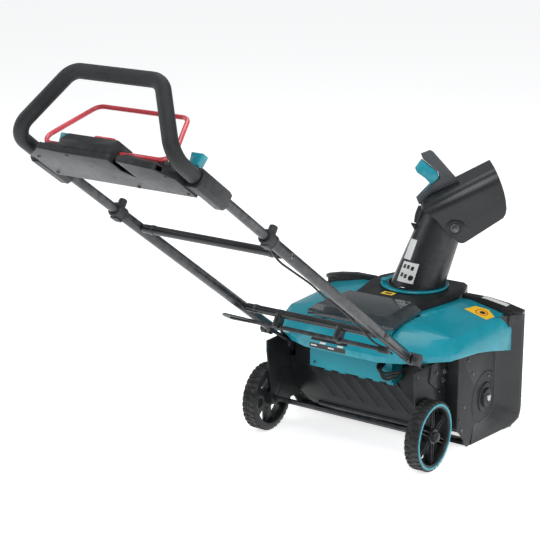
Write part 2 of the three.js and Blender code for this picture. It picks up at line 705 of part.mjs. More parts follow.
// the one bent tube that runs from the telescoping ends through the clamps to the grip
function gripTube() {
  const corners = [
    [-tubeX, -976, 0], [-tubeX, -1055, 2], [-106, -1058, 140],
    [106, -1058, 140], [tubeX, -1055, 2], [tubeX, -976, 0],
  ];
  const path = roundedPath(corners, 36);
  const legs = [-tubeX, tubeX].map((x) => discY(x, -977, -540, 0, upperTubeRadius, 12));
  part("grip_tube", join(sweep(path, upperTubeRadius, 34, 4), ...legs), blackMetal, handle);
  part("grip_foam", sweep(path, gripRadius, 34, 4, upperTubeRadius + 0.8), foam, handle);
}

function bail() {
  const rise = 63.5;
  const reach = 113;
  const path = roundedPath([
    [-30, -bailPivotS, bailPivotN], [-160, -bailPivotS, bailPivotN],
    [-108, -bailPivotS + rise, bailPivotN + reach],
    [108, -bailPivotS + rise, bailPivotN + reach], [160, -bailPivotS, bailPivotN], [-6, -bailPivotS, bailPivotN],
  ], 16);
  part("bail", sweep(path, bailRadius, 38, 3), redMetal, handle);
}

function clampSleeve() {
  const section = [[-17, -12], [-9, -20], [9, -20], [17, -12], [17, 12], [9, 19], [-9, 19], [-17, 12]];
  const sleeve = alongY(section.map(([x, z]) => [x + tubeX, z]), -972, -872);
  return join(sleeve, block(tubeX - 24, tubeX - 10, -968, -924, -18, -8));
}

function panelParts() {
  const notch = alongZ(panelNotch, -40, 40);
  const floor = cut(alongZ(panelPlan, -21, -8), notch, block(-150, 150, -1030, -935, -18, 0));
  const bores = [-tubeX, tubeX].map((x) => discY(x, -1000, -800, 0, upperTubeRadius + gap, 16));
  part("panel_lower", cut(join(floor, clampSleeve(), mirrored(clampSleeve())), ...bores), blackPlastic, handle);
  const raised = tapered(scaled(panelPlan, 0.96, 0.95, -985), -8 + gap, 12, 0.97, 0.6, -965);
  const cavity = block(-120, 120, -990, -950, -12, 8);
  const channel = discX(-175, 175, -bailPivotS, bailPivotN, bailRadius + 4, 16);
  const boxRoom = block(-78.3, 42.3, -1060, -984.7, -20, 40);
  part("panel_upper", cut(raised, notch, cavity, channel, boxRoom), blackPlastic, handle);
  const boxSide = [[-1046, -7.7], [-1050, 6], [-1034, 24], [-985, 24], [-985, -7.7]];
  const bailBore = discX(-90, 60, -bailPivotS, bailPivotN, bailRadius + 0.6, 16);
  part(
    "switch_box", cut(alongX(boxSide, -78, 42), bailBore, block(-26, 30, -1032, -998, 12, 30)),
    blackPlastic, handle,
  );
  part("lock_off_button", block(-22, 26, -1028, -1002, 17, 30), redPlastic, handle);
}

function quickLever() {
  const paddle = [[148, 30], [168, 30], [172, 54], [144, 54]];
  return join(block(153, 163, -952, -938, 14, 34), alongY(paddle, -954, -936));
}

function upperHandleParts() {
  gripTube();
  bail();
  panelParts();
  part("quick_lever_right", quickLever(), tealPlastic, handle);
  part("quick_lever_left", mirrored(quickLever()), tealPlastic, handle);
}

// ---- control cable: leaves the right tube at the collar and runs down its inner side ----
function cable() {
  const lead = tubeX - lowerTubeRadius - 3.5;
  const route = new THREE.CatmullRomCurve3([
    [lead, -664, -6], [lead - 1, -640, -9], [lead - 2, -600, -14], [lead - 1, -540, -12], [lead, -470, -9],
    [lead - 1, -400, -11], [lead, -330, -9], [lead - 1, -260, -11], [lead - 1, -205, -14], [lead - 2, -168, -17],
    [lead - 2, -130, -17], [lead - 1, -90, -12], [lead, -55, -12],
  ].map((p) => new THREE.Vector3(...p)));
  part("control_cable", sweep(route, 2.5, 40, 4), rubber, handle);
}

sidePlates();
augerHousing();
rearShroud();
topCover();
dome();
chuteParts();
rack();
deflectorParts();
batteryParts();
driveParts();
lowerHousing();
augerParts();
wheelParts();
legParts();
lowerHandleParts();
upperHandleParts();
cable();

// the frame's origin is under the middle of the whole outline, on the ground
const bounds = new THREE.Box3().setFromObject(model, true);
const centre = bounds.getCenter(new THREE.Vector3());
model.position.set(-centre.x, -centre.y, -bounds.min.z);

export default model;
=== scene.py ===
import json
import math

import bmesh
import bpy
from mathutils import Matrix, Vector
from mathutils.bvhtree import BVHTree


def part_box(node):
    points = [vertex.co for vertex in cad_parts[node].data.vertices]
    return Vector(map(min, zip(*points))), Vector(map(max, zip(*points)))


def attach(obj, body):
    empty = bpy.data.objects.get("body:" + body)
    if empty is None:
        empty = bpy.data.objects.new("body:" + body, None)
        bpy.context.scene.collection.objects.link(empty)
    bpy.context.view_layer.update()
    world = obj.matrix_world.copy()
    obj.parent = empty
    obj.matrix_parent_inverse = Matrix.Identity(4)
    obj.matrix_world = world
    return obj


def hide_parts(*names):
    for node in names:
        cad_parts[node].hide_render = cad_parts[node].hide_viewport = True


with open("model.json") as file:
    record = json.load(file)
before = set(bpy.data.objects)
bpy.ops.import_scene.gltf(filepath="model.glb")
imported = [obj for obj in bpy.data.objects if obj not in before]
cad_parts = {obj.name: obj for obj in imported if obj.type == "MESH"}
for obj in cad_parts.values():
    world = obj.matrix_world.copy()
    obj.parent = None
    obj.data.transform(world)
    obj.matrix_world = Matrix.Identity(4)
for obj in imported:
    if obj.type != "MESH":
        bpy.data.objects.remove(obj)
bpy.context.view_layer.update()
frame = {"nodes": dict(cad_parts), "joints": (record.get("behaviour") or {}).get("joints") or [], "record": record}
scene = bpy.context.scene
joints = {joint["name"]: joint for joint in frame["joints"]}
print("frame loaded:", len(frame["nodes"]), "nodes")

# Pieces are drawn in millimetres in one of three spaces and put in the frame as they are finished.
wheelLow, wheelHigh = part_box("wheel_right")
axleY = (wheelLow[1] + wheelHigh[1]) / 2
millimetres = Matrix.Scale(0.001, 4)
bodySpace = Matrix.Translation((0, axleY, 0)) @ millimetres
foldPoint = Vector(joints["handle_fold"]["pos_m"])
tubeDirection = Vector(joints["handle_telescope"]["axis"])
handlePitch = -math.asin(tubeDirection.z)
# in handle space x is sideways, y runs down the tubes to the fold at 0, z stands off them
handleSpace = Matrix.Translation(foldPoint) @ Matrix.Rotation(-handlePitch, 4, "X") @ millimetres
chuteAxis = Vector(joints["chute_turn"]["pos_m"])
tiltAxis = Vector(joints["deflector_tilt"]["axis"])
throwTurn = math.atan2(-tiltAxis.x, tiltAxis.y) + math.pi
# in chute space x is the way the snow is thrown and z is up from the ground
chuteFoot = Matrix.Translation((chuteAxis.x, chuteAxis.y, 0))
chuteSpace = chuteFoot @ Matrix.Rotation(throwTurn, 4, "Z") @ millimetres
tiltPoint = chuteSpace.inverted() @ Vector(joints["deflector_tilt"]["pos_m"])


# shader groups

def newGroup(name, inputs, outputs):
    group = bpy.data.node_groups.new(name, "ShaderNodeTree")
    for label, kind, value in inputs:
        socket = group.interface.new_socket(name=label, in_out="INPUT", socket_type=kind)
        socket.default_value = value
    for label, kind in outputs:
        group.interface.new_socket(name=label, in_out="OUTPUT", socket_type=kind)
    return group, group.nodes.new("NodeGroupInput"), group.nodes.new("NodeGroupOutput")


def addNode(tree, kind, **values):
    node = tree.nodes.new(kind)
    for key, value in values.items():
        setattr(node, key, value)
    return node


def mathNode(tree, operation, first, second=None):
    node = addNode(tree, "ShaderNodeMath", operation=operation)
    for socket, value in zip(node.inputs, (first, second)):
        if value is None:
            continue
        if isinstance(value, (int, float)):
            socket.default_value = value
        else:
            tree.links.new(value, socket)
    return node.outputs[0]


def rangeNode(tree, value, low, high, outLow=0.0, outHigh=1.0):
    node = addNode(tree, "ShaderNodeMapRange")
    tree.links.new(value, node.inputs["Value"])
    for label, number in (("From Min", low), ("From Max", high), ("To Min", outLow), ("To Max", outHigh)):
        node.inputs[label].default_value = number
    return node.outputs[0]


def noiseNode(tree, vector, scale, detail=3.0, roughness=0.55):
    node = addNode(tree, "ShaderNodeTexNoise")
    node.inputs["Scale"].default_value = scale
    node.inputs["Detail"].default_value = detail
    node.inputs["Roughness"].default_value = roughness
    tree.links.new(vector, node.inputs["Vector"])
    return node.outputs["Fac"]


# how worn an edge is: raised edges, broken up by noise
wearGroup, wearIn, wearOut = newGroup(
    "edgeWear",
    [("Amount", "NodeSocketFloat", 0.5), ("Break", "NodeSocketFloat", 60.0)],
    [("Mask", "NodeSocketFloat")],
)
wearPlace = addNode(wearGroup, "ShaderNodeTexCoord").outputs["Object"]
wearPoint = addNode(wearGroup, "ShaderNodeNewGeometry").outputs["Pointiness"]
wearEdge = rangeNode(wearGroup, wearPoint, 0.53, 0.6)
wearNoise = addNode(wearGroup, "ShaderNodeTexNoise")
wearNoise.inputs["Detail"].default_value = 4
wearGroup.links.new(wearPlace, wearNoise.inputs["Vector"])
wearGroup.links.new(wearIn.outputs["Break"], wearNoise.inputs["Scale"])
wearBroken = rangeNode(wearGroup, wearNoise.outputs["Fac"], 0.42, 0.62)
wearGroup.links.new(
    mathNode(
        wearGroup, "MULTIPLY", mathNode(wearGroup, "MULTIPLY", wearEdge, wearBroken),
        wearIn.outputs["Amount"],
    ),
    wearOut.inputs["Mask"],
)

# moulded grain: a fine height, and a slow drift used for tone and gloss
grainGroup, grainIn, grainOut = newGroup(
    "mouldGrain",
    [("Fine", "NodeSocketFloat", 1400.0), ("Broad", "NodeSocketFloat", 14.0)],
    [("Height", "NodeSocketFloat"), ("Drift", "NodeSocketFloat"), ("Specks", "NodeSocketFloat")],
)
grainPlace = addNode(grainGroup, "ShaderNodeTexCoord").outputs["Object"]
for label, detail, outLabel, low, high in (
    ("Fine", 2.0, "Height", 0.3, 0.7), ("Broad", 4.0, "Drift", 0.35, 0.65),
):
    grainNoise = addNode(grainGroup, "ShaderNodeTexNoise")
    grainNoise.inputs["Detail"].default_value = detail
    grainGroup.links.new(grainPlace, grainNoise.inputs["Vector"])
    grainGroup.links.new(grainIn.outputs[label], grainNoise.inputs["Scale"])
    grainGroup.links.new(
        rangeNode(grainGroup, grainNoise.outputs["Fac"], low, high), grainOut.inputs[outLabel],
    )
speckNoise = noiseNode(grainGroup, grainPlace, 420, 5, 0.7)
grainGroup.links.new(rangeNode(grainGroup, speckNoise, 0.66, 0.74), grainOut.inputs["Specks"])

# scuffs: long thin marks that lie every way
scuffGroup, scuffIn, scuffOut = newGroup(
    "scuffs", [("Scale", "NodeSocketFloat", 90.0)], [("Mask", "NodeSocketFloat")],
)
scuffPlace = addNode(scuffGroup, "ShaderNodeTexCoord").outputs["Object"]
scuffMapping = addNode(scuffGroup, "ShaderNodeMapping")
scuffMapping.inputs["Rotation"].default_value = (0.4, 0.9, 0.3)
scuffMapping.inputs["Scale"].default_value = (1.0, 0.09, 1.0)
scuffGroup.links.new(scuffPlace, scuffMapping.inputs["Vector"])
scuffNoise = addNode(scuffGroup, "ShaderNodeTexNoise")
scuffNoise.inputs["Detail"].default_value = 3
scuffGroup.links.new(scuffMapping.outputs["Vector"], scuffNoise.inputs["Vector"])
scuffGroup.links.new(scuffIn.outputs["Scale"], scuffNoise.inputs["Scale"])
scuffGroup.links.new(rangeNode(scuffGroup, scuffNoise.outputs["Fac"], 0.64, 0.72), scuffOut.inputs["Mask"])


# materials

def mixColour(tree, mask, first, second):
    node = addNode(tree, "ShaderNodeMix", data_type="RGBA")
    tree.links.new(mask, node.inputs[0])
    for socket, value in ((node.inputs[6], first), (node.inputs[7], second)):
        if isinstance(value, tuple):
            socket.default_value = (*value, 1)
        else:
            tree.links.new(value, socket)
    return node.outputs[2]


def makeFinish(name, look):
    material = bpy.data.materials.new(name)
    material.use_nodes = True
    tree = material.node_tree
    shader = tree.nodes["Principled BSDF"]
    base = look["colour"]
    shader.inputs["Metallic"].default_value = look.get("metal", 0.0)
    shader.inputs["Specular IOR Level"].default_value = look.get("specular", 0.5)
    shader.inputs["Coat Weight"].default_value = look.get("coat", 0.0)
    shader.inputs["Coat Roughness"].default_value = look.get("coatRoughness", 0.15)
    shader.inputs["Sheen Weight"].default_value = look.get("sheen", 0.0)
    grain = addNode(tree, "ShaderNodeGroup", node_tree=grainGroup)
    grain.inputs["Fine"].default_value = look.get("grain", 1400.0)
    grain.inputs["Broad"].default_value = look.get("broad", 14.0)
    wear = addNode(tree, "ShaderNodeGroup", node_tree=wearGroup)
    wear.inputs["Amount"].default_value = look.get("wear", 0.5)
    scuff = addNode(tree, "ShaderNodeGroup", node_tree=scuffGroup)
    scuff.inputs["Scale"].default_value = look.get("scuffScale", 90.0)
    tone = look.get("tone", 0.18)
    darker = tuple(value * (1 - tone) for value in base)
    lighter = tuple(min(1.0, value * (1 + tone) + tone * 0.01) for value in base)
    drifted = mixColour(tree, grain.outputs["Drift"], darker, lighter)
    dusted = mixColour(
        tree, mathNode(tree, "MULTIPLY", grain.outputs["Specks"], look.get("dust", 0.12)), drifted,
        (0.35, 0.34, 0.32),
    )
    worn = mixColour(tree, wear.outputs["Mask"], dusted, look.get("wornColour", lighter))
    tree.links.new(worn, shader.inputs["Base Color"])
    rough = look["rough"]
    spread = look.get("roughSpread", 0.08)
    gloss = rangeNode(tree, grain.outputs["Drift"], 0.0, 1.0, rough - spread / 2, rough + spread / 2)
    scuffed = mathNode(tree, "MULTIPLY", scuff.outputs["Mask"], look.get("scuff", 0.12))
    tree.links.new(mathNode(tree, "ADD", gloss, scuffed), shader.inputs["Roughness"])
    bump = addNode(tree, "ShaderNodeBump")
    bump.inputs["Strength"].default_value = look.get("bump", 0.25)
    bump.inputs["Distance"].default_value = look.get("depth", 0.0002)
    tree.links.new(grain.outputs["Height"], bump.inputs["Height"])
    tree.links.new(bump.outputs["Normal"], shader.inputs["Normal"])
    return material


finishLooks = {
    "bodyBlack": dict(
        specular=0.26, colour=(0.009, 0.0105, 0.0115), rough=0.36, grain=1500, bump=0.3, wear=0.5,
        wornColour=(0.05, 0.052, 0.055),
    ),
    "panelBlack": dict(
        specular=0.3, colour=(0.019, 0.022, 0.0245), rough=0.44, grain=1300, bump=0.35, wear=0.4,
        wornColour=(0.09, 0.09, 0.095),
    ),
    "satinBlack": dict(
        specular=0.42, colour=(0.011, 0.013, 0.0145), rough=0.27, grain=1700, bump=0.16, wear=0.35,
        wornColour=(0.06, 0.062, 0.065),
    ),
    "handleGrey": dict(
        specular=0.35, colour=(0.05, 0.056, 0.06), rough=0.42, grain=1300, bump=0.3, wear=0.5,
        wornColour=(0.14, 0.14, 0.145),
    ),
    "coverTeal": dict(
        specular=0.3, colour=(0.003, 0.24, 0.31), rough=0.3, grain=900, bump=0.07, tone=0.07, wear=0.55,
        wornColour=(0.1, 0.5, 0.58), coat=0.25, coatRoughness=0.12, dust=0.05,
    ),
    "housingTeal": dict(
        colour=(0.003, 0.24, 0.31), specular=0.3, rough=0.36, grain=1000, bump=0.1, tone=0.05, wear=0.06,
        wornColour=(0.02, 0.32, 0.4), dust=0.03,
    ),
    "controlRed": dict(
        colour=(0.62, 0.06, 0.075), rough=0.34, grain=1100, bump=0.12, tone=0.08, wear=0.5,
        wornColour=(0.8, 0.3, 0.3), coat=0.2, dust=0.04,
    ),
    "bailRed": dict(
        colour=(0.62, 0.055, 0.075), rough=0.26, grain=800, bump=0.1, tone=0.1, wear=0.7,
        wornColour=(0.75, 0.35, 0.35), coat=0.5, dust=0.05,
    ),
    "tubeBlack": dict(
        colour=(0.009, 0.0105, 0.0125), rough=0.3, grain=700, bump=0.16, metal=0.0, wear=0.6,
        wornColour=(0.09, 0.09, 0.095), coat=0.12, coatRoughness=0.2,
    ),
    "steel": dict(
        colour=(0.46, 0.47, 0.48), rough=0.26, grain=600, bump=0.1, metal=1.0, tone=0.12, wear=0.2,
        dust=0.03,
    ),
    "darkSteel": dict(
        colour=(0.09, 0.092, 0.096), rough=0.34, grain=600, bump=0.14, metal=0.9, tone=0.12, wear=0.7,
        wornColour=(0.35, 0.35, 0.36),
    ),
    "augerRubber": dict(
        specular=0.25, colour=(0.009, 0.009, 0.0095), rough=0.62, grain=520, bump=0.4, wear=0.6,
        wornColour=(0.045, 0.045, 0.045), dust=0.3,
    ),
    "tyreBlack": dict(
        specular=0.28, colour=(0.011, 0.0115, 0.012), rough=0.5, grain=700, bump=0.4, wear=0.8,
        wornColour=(0.05, 0.05, 0.052), dust=0.25,
    ),
    "wheelBlack": dict(
        specular=0.3, colour=(0.012, 0.013, 0.014), rough=0.34, grain=1200, bump=0.25, wear=0.6,
        wornColour=(0.06, 0.06, 0.065),
    ),
    "foamBlack": dict(
        specular=0.3, colour=(0.014, 0.016, 0.018), rough=0.5, grain=1100, bump=0.7, depth=0.0003,
        tone=0.25, wear=0.0, sheen=0.03, dust=0.1,
    ),
    "cableBlack": dict(
        specular=0.3, colour=(0.012, 0.012, 0.013), rough=0.45, grain=900, bump=0.2, wear=0.2,
    ),
    "labelWhite": dict(
        colour=(0.68, 0.69, 0.69), rough=0.36, grain=900, bump=0.05, tone=0.04, wear=0.2, dust=0.04,
    ),
    "labelYellow": dict(
        colour=(0.85, 0.52, 0.012), rough=0.36, grain=900, bump=0.05, tone=0.05, wear=0.2, dust=0.04,
    ),
    "labelBlack": dict(
        colour=(0.012, 0.012, 0.013), rough=0.3, grain=900, bump=0.05, wear=0.1, dust=0.04,
    ),
    "labelOrange": dict(colour=(0.7, 0.09, 0.02), rough=0.36, grain=900, bump=0.05, wear=0.1, dust=0.03),
}
finishes = {name: makeFinish(name, look) for name, look in finishLooks.items()}


def makeSmoked():
    material = bpy.data.materials.new("smokedClear")
    material.use_nodes = True
    tree = material.node_tree
    shader = tree.nodes["Principled BSDF"]
    shader.inputs["Transmission Weight"].default_value = 0.82
    shader.inputs["IOR"].default_value = 1.38
    shader.inputs["Coat Weight"].default_value = 0.35
    shader.inputs["Coat Roughness"].default_value = 0.05
    grain = addNode(tree, "ShaderNodeGroup", node_tree=grainGroup)
    scuff = addNode(tree, "ShaderNodeGroup", node_tree=scuffGroup)
    scuff.inputs["Scale"].default_value = 60.0
    tinted = mixColour(tree, grain.outputs["Drift"], (0.13, 0.165, 0.185), (0.17, 0.205, 0.225))
    tree.links.new(tinted, shader.inputs["Base Color"])
    haze = rangeNode(tree, grain.outputs["Drift"], 0, 1, 0.09, 0.15)
    marks = mathNode(tree, "MULTIPLY", scuff.outputs["Mask"], 0.16)
    tree.links.new(mathNode(tree, "ADD", haze, marks), shader.inputs["Roughness"])
    return material


finishes["smokedClear"] = makeSmoked()
print("materials:", len(finishes))


# modelling helpers

def rounded(points, radius, steps=6):
    # an outline with its corners turned into arcs; a point may carry its own radius as a third number
    result = []
    count = len(points)
    for index, point in enumerate(points):
        corner = Vector(point[:2])
        before = Vector(points[index - 1][:2]) - corner
        after = Vector(points[(index + 1) % count][:2]) - corner
        bend = point[2] if len(point) > 2 else radius
        half = before.angle(after) / 2
        if bend <= 0 or half > 1.55:
            result.append(corner)
            continue
        reach = min(bend / math.tan(half), before.length * 0.48, after.length * 0.48)
        size = reach * math.tan(half)
        start = corner + before.normalized() * reach
        end = corner + after.normalized() * reach
        centre = corner + (before.normalized() + after.normalized()).normalized() * (size / math.sin(half))
        first = start - centre
        sweep = first.angle_signed(end - centre) if first.length > 1e-6 else 0
        for step in range(steps + 1):
            turned = first.copy()
            turned.rotate(Matrix.Rotation(-sweep * step / steps, 2))
            result.append(centre + turned)
    return result


planes = {
    "x": lambda a, b, depth: (depth, a, b),
    "y": lambda a, b, depth: (a, depth, b),
    "z": lambda a, b, depth: (a, b, depth),
}


def bevelSharp(bm, faces, width, segments=2, angle=30):
    if width <= 0:
        return
    edges = {edge for face in faces if face.is_valid for edge in face.edges}
    limit = math.radians(angle)
    sharp = [edge for edge in edges if len(edge.link_faces) == 2 and edge.calc_face_angle(0) > limit]
    bmesh.ops.bevel(
        bm, geom=sharp, offset=width, segments=segments, profile=0.5, affect="EDGES", clamp_overlap=True,
        material=-1,
    )


def connected(faces):
    # every face joined to these through shared edges
    found = set(faces)
    queue = list(faces)
    while queue:
        for edge in queue.pop().edges:
            for face in edge.link_faces:
                if face not in found:
                    found.add(face)
                    queue.append(face)
    return list(found)


def slab(bm, outline, low, high, plane="z", bevel=0.8, segments=2, angle=30):
    place = planes[plane]
    corners = [bm.verts.new(place(point[0], point[1], low)) for point in outline]
    base = bm.faces.new(corners)
    pushed = bmesh.ops.extrude_face_region(bm, geom=[base])
    top = [item for item in pushed["geom"] if isinstance(item, bmesh.types.BMVert)]
    bmesh.ops.translate(bm, verts=top, vec=place(0, 0, high - low))
    faces = connected([base])
    bmesh.ops.recalc_face_normals(bm, faces=faces)
    bevelSharp(bm, faces, bevel, segments, angle)
    return top


def box(bm, low, high, bevel=0.8, segments=2):
    size = Vector(high) - Vector(low)
    made = bmesh.ops.create_cube(bm, size=1.0)["verts"]
    bmesh.ops.scale(bm, vec=size, verts=made)
    bmesh.ops.translate(bm, vec=(Vector(high) + Vector(low)) / 2, verts=made)
    faces = list({face for vert in made for face in vert.link_faces})
    bevelSharp(bm, faces, bevel, segments)


axes = {"x": Vector((1, 0, 0)), "y": Vector((0, 1, 0)), "z": Vector((0, 0, 1))}


def revolve(bm, profile, axis="x", centre=(0, 0, 0), steps=48, closed=False):
    # profile points are (radius, height along the axis)
    along = axes[axis]
    out = axes["z"] if axis != "z" else axes["x"]
    origin = Vector(centre)
    chain = [bm.verts.new(origin + out * radius + along * height) for radius, height in profile]
    edges = [bm.edges.new(pair) for pair in zip(chain, chain[1:])]
    if closed:
        edges.append(bm.edges.new((chain[-1], chain[0])))
    spun = bmesh.ops.spin(
        bm, geom=chain + edges, cent=origin, axis=along, angle=2 * math.pi, steps=steps, use_merge=True,
    )
    faces = connected(
        [item for item in spun["geom_last"] if isinstance(item, bmesh.types.BMEdge)][0].link_faces,
    )
    verts = list({vert for face in faces for vert in face.verts})
    bmesh.ops.remove_doubles(bm, verts=verts, dist=0.001)
    faces = connected([face for vert in verts if vert.is_valid for face in vert.link_faces][:1])
    bmesh.ops.recalc_face_normals(bm, faces=faces)
    return list({vert for face in faces for vert in face.verts})


def aim(place, direction, roll=0.0):
    # turns what is drawn up the z axis to a direction and moves it to a place
    turn = axes["z"].rotation_difference(Vector(direction)).to_matrix().to_4x4()
    return Matrix.Translation(place) @ turn @ Matrix.Rotation(roll, 4, "Z")


def stamp(bm, draw, *places):
    # draws a shape once and copies it to each place
    part = bmesh.new()
    draw(part)
    mesh = bpy.data.meshes.new("stamp")
    part.to_mesh(mesh)
    part.free()
    for place in places:
        mesh.transform(place)
        bm.from_mesh(mesh)
        mesh.transform(place.inverted())
    bpy.data.meshes.remove(mesh)


def panHead(radius=4.0, height=2.6, recess=0.5, sides=20):
    inner = radius * recess
    profile = [
        (0, -1.0), (radius, -1.0), (radius, height * 0.45), (radius * 0.86, height * 0.85),
        (radius * 0.62, height), (inner, height), (inner * 0.9, height * 0.35), (0, height * 0.3),
    ]
    return lambda part: revolve(part, profile, "z", steps=sides)


def hexHead(radius=6.0, height=5.0, washer=1.5):
    hexagon = [(radius * math.cos(i * math.pi / 3), radius * math.sin(i * math.pi / 3)) for i in range(6)]
    outer = radius * washer

    def draw(part):
        slab(part, hexagon, 0, height, "z", radius * 0.1)
        revolve(part, [(0, -0.6), (outer, -0.6), (outer, 0.6), (outer - 0.6, 1.1), (0, 1.1)], "z", steps=28)
    return draw


def combined(bm, tool, operation):
    # a boolean of two closed shapes; the result replaces the first
    carriers = []
    for part in (bm, tool):
        mesh = bpy.data.meshes.new("carrier")
        part.to_mesh(mesh)
        part.free()
        carrier = bpy.data.objects.new("carrier", mesh)
        scene.collection.objects.link(carrier)
        carriers.append(carrier)
    modifier = carriers[0].modifiers.new("cut", "BOOLEAN")
    modifier.operation = operation
    modifier.solver = "EXACT"
    modifier.object = carriers[1]
    bpy.context.view_layer.update()
    mesh = bpy.data.meshes.new_from_object(carriers[0].evaluated_get(bpy.context.evaluated_depsgraph_get()))
    result = bmesh.new()
    result.from_mesh(mesh)
    bpy.data.meshes.remove(mesh)
    for carrier in carriers:
        data = carrier.data
        bpy.data.objects.remove(carrier)
        bpy.data.meshes.remove(data)
    bmesh.ops.remove_doubles(result, verts=result.verts, dist=0.01)
    bmesh.ops.dissolve_limit(
        result, angle_limit=math.radians(0.6), verts=result.verts, edges=result.edges,
        use_dissolve_boundaries=False,
    )
    return result


def drawn(draw, *args, **values):
    bm = bmesh.new()
    draw(bm, *args, **values)
    return bm


def bentRoute(corners, bend, steps=8):
    # the points of a path through these corners, each corner turned through an arc
    points = [Vector(corner) for corner in corners]
    route = [points[0]]
    for before, corner, after in zip(points, points[1:], points[2:]):
        back = (before - corner).normalized()
        on = (after - corner).normalized()
        half = back.angle(on) / 2
        reach = min(bend / math.tan(half), (before - corner).length * 0.49, (after - corner).length * 0.49)
        radius = reach * math.tan(half)
        centre = corner + (back + on).normalized() * (radius / math.sin(half))
        start = corner + back * reach - centre
        normal = start.cross(corner + on * reach - centre).normalized()
        sweep = math.pi - 2 * half
        for step in range(steps + 1):
            turned = start.copy()
            turned.rotate(Matrix.Rotation(sweep * step / steps, 3, normal))
            route.append(centre + turned)
    route.append(points[-1])
    return route


def pipe(bm, route, radius, resolution=7, caps=True, swell=None):
    curve = bpy.data.curves.new("pipeRoute", "CURVE")
    curve.dimensions = "3D"
    curve.bevel_depth = radius
    curve.bevel_resolution = resolution
    curve.use_fill_caps = caps
    spline = curve.splines.new("POLY")
    spline.points.add(len(route) - 1)
    for index, (point, place) in enumerate(zip(spline.points, route)):
        point.co = (*place, 1)
        point.radius = swell[index] if swell else 1.0
    carrier = bpy.data.objects.new("pipeRoute", curve)
    scene.collection.objects.link(carrier)
    mesh = bpy.data.meshes.new_from_object(carrier.evaluated_get(bpy.context.evaluated_depsgraph_get()))
    bm.from_mesh(mesh)
    bpy.data.objects.remove(carrier)
    bpy.data.curves.remove(curve)
    bpy.data.meshes.remove(mesh)


def finish(
    name, bm, space, material, body, nodes=(), slotName=None, sharp=32, doubles=0.0005, mirrorIt=False,
):
    if doubles:
        bmesh.ops.remove_doubles(bm, verts=bm.verts, dist=doubles)
    if mirrorIt:
        bmesh.ops.scale(bm, vec=(-1, 1, 1), verts=bm.verts)
        bmesh.ops.reverse_faces(bm, faces=bm.faces)
    bmesh.ops.transform(bm, matrix=space, verts=bm.verts)
    for face in bm.faces:
        face.smooth = True
    for edge in bm.edges:
        if len(edge.link_faces) == 2 and edge.calc_face_angle(0) > math.radians(sharp):
            edge.smooth = False
    mesh = bpy.data.meshes.new(name)
    bm.to_mesh(mesh)
    bm.free()
    piece = bpy.data.objects.new(name, mesh)
    scene.collection.objects.link(piece)
    mesh.materials.append(finishes[material])
    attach(piece, body)
    for node in nodes:
        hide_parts(node)
    return piece


def nodeBody(node):
    for body, members in frame["record"]["behaviour"]["bodies"].items():
        if node in members:
            return body
    return None


slots = {entry["node"]: entry["material_slot"] for entry in frame["record"]["subparts"]}


def remake(name, bm, space, material, node, **extra):
    # a piece that stands in for one node of the frame
    return finish(name, bm, space, material, nodeBody(node), [node], slots[node], **extra)


def softened(node, material, bevel):
    # a cleaned copy of a frame node with its edges rounded
    bm = bmesh.new()
    bm.from_mesh(frame["nodes"][node].data)
    bmesh.ops.remove_doubles(bm, verts=bm.verts, dist=1e-5)
    bmesh.ops.dissolve_limit(
        bm, angle_limit=math.radians(1.0), verts=bm.verts, edges=bm.edges, use_dissolve_boundaries=False,
    )
    bevelSharp(bm, list(bm.faces), bevel / 1000, 2, 28)
    return remake(node + "_skin", bm, Matrix.Identity(4), material, node, sharp=35, doubles=0)


# stage, camera, light

stageLook = {
    "floor": (0.9, 0.905, 0.91), "floorRough": 0.7, "floorGlow": 0.7, "world": (0.95, 0.97, 1.0),
    "worldPower": 0.24,
}


def buildStage():
    bm = bmesh.new()
    bmesh.ops.create_grid(bm, x_segments=1, y_segments=1, size=14)
    mesh = bpy.data.meshes.new("studioFloor")
    bm.to_mesh(mesh)
    bm.free()
    floor = bpy.data.objects.new("studioFloor", mesh)
    scene.collection.objects.link(floor)
    material = bpy.data.materials.new("studioFloor")
    material.use_nodes = True
    shader = material.node_tree.nodes["Principled BSDF"]
    shader.inputs["Base Color"].default_value = (*stageLook["floor"], 1)
    shader.inputs["Roughness"].default_value = stageLook["floorRough"]
    shader.inputs["Emission Color"].default_value = (1, 1, 1, 1)
    shader.inputs["Emission Strength"].default_value = stageLook["floorGlow"]
    mesh.materials.append(material)
    world = bpy.data.worlds.new("studio")
    world.use_nodes = True
    background = world.node_tree.nodes["Background"]
    background.inputs["Color"].default_value = (*stageLook["world"], 1)
    background.inputs["Strength"].default_value = stageLook["worldPower"]
    scene.world = world


lights = {
    "keySoft": dict(place=(1.2, -2.4, 3.0), size=1.9, power=58),
    "leftFill": dict(place=(-2.8, -1.2, 2.0), size=2.0, power=26),
    "topSoft": dict(place=(-0.2, 0.6, 3.2), size=2.2, power=40),
    "rightEdge": dict(place=(3.0, 0.2, 1.5), size=1.3, power=26),
}


def buildLights():
    target = Vector((0, 0.1, 0.35))
    for name, light in lights.items():
        lamp = bpy.data.lights.new(name, "AREA")
        lamp.size = light["size"]
        lamp.energy = light["power"]
        holder = bpy.data.objects.new(name, lamp)
        holder.location = light["place"]
        holder.rotation_euler = (target - holder.location).to_track_quat("-Z", "Y").to_euler()
        scene.collection.objects.link(holder)


cameraLook = {
    "place": (1903.1, -3051.5, 1502.8), "azimuth": 34.79, "elevation": 16.44, "roll": -0.12,
    "lens": 107.75,
}


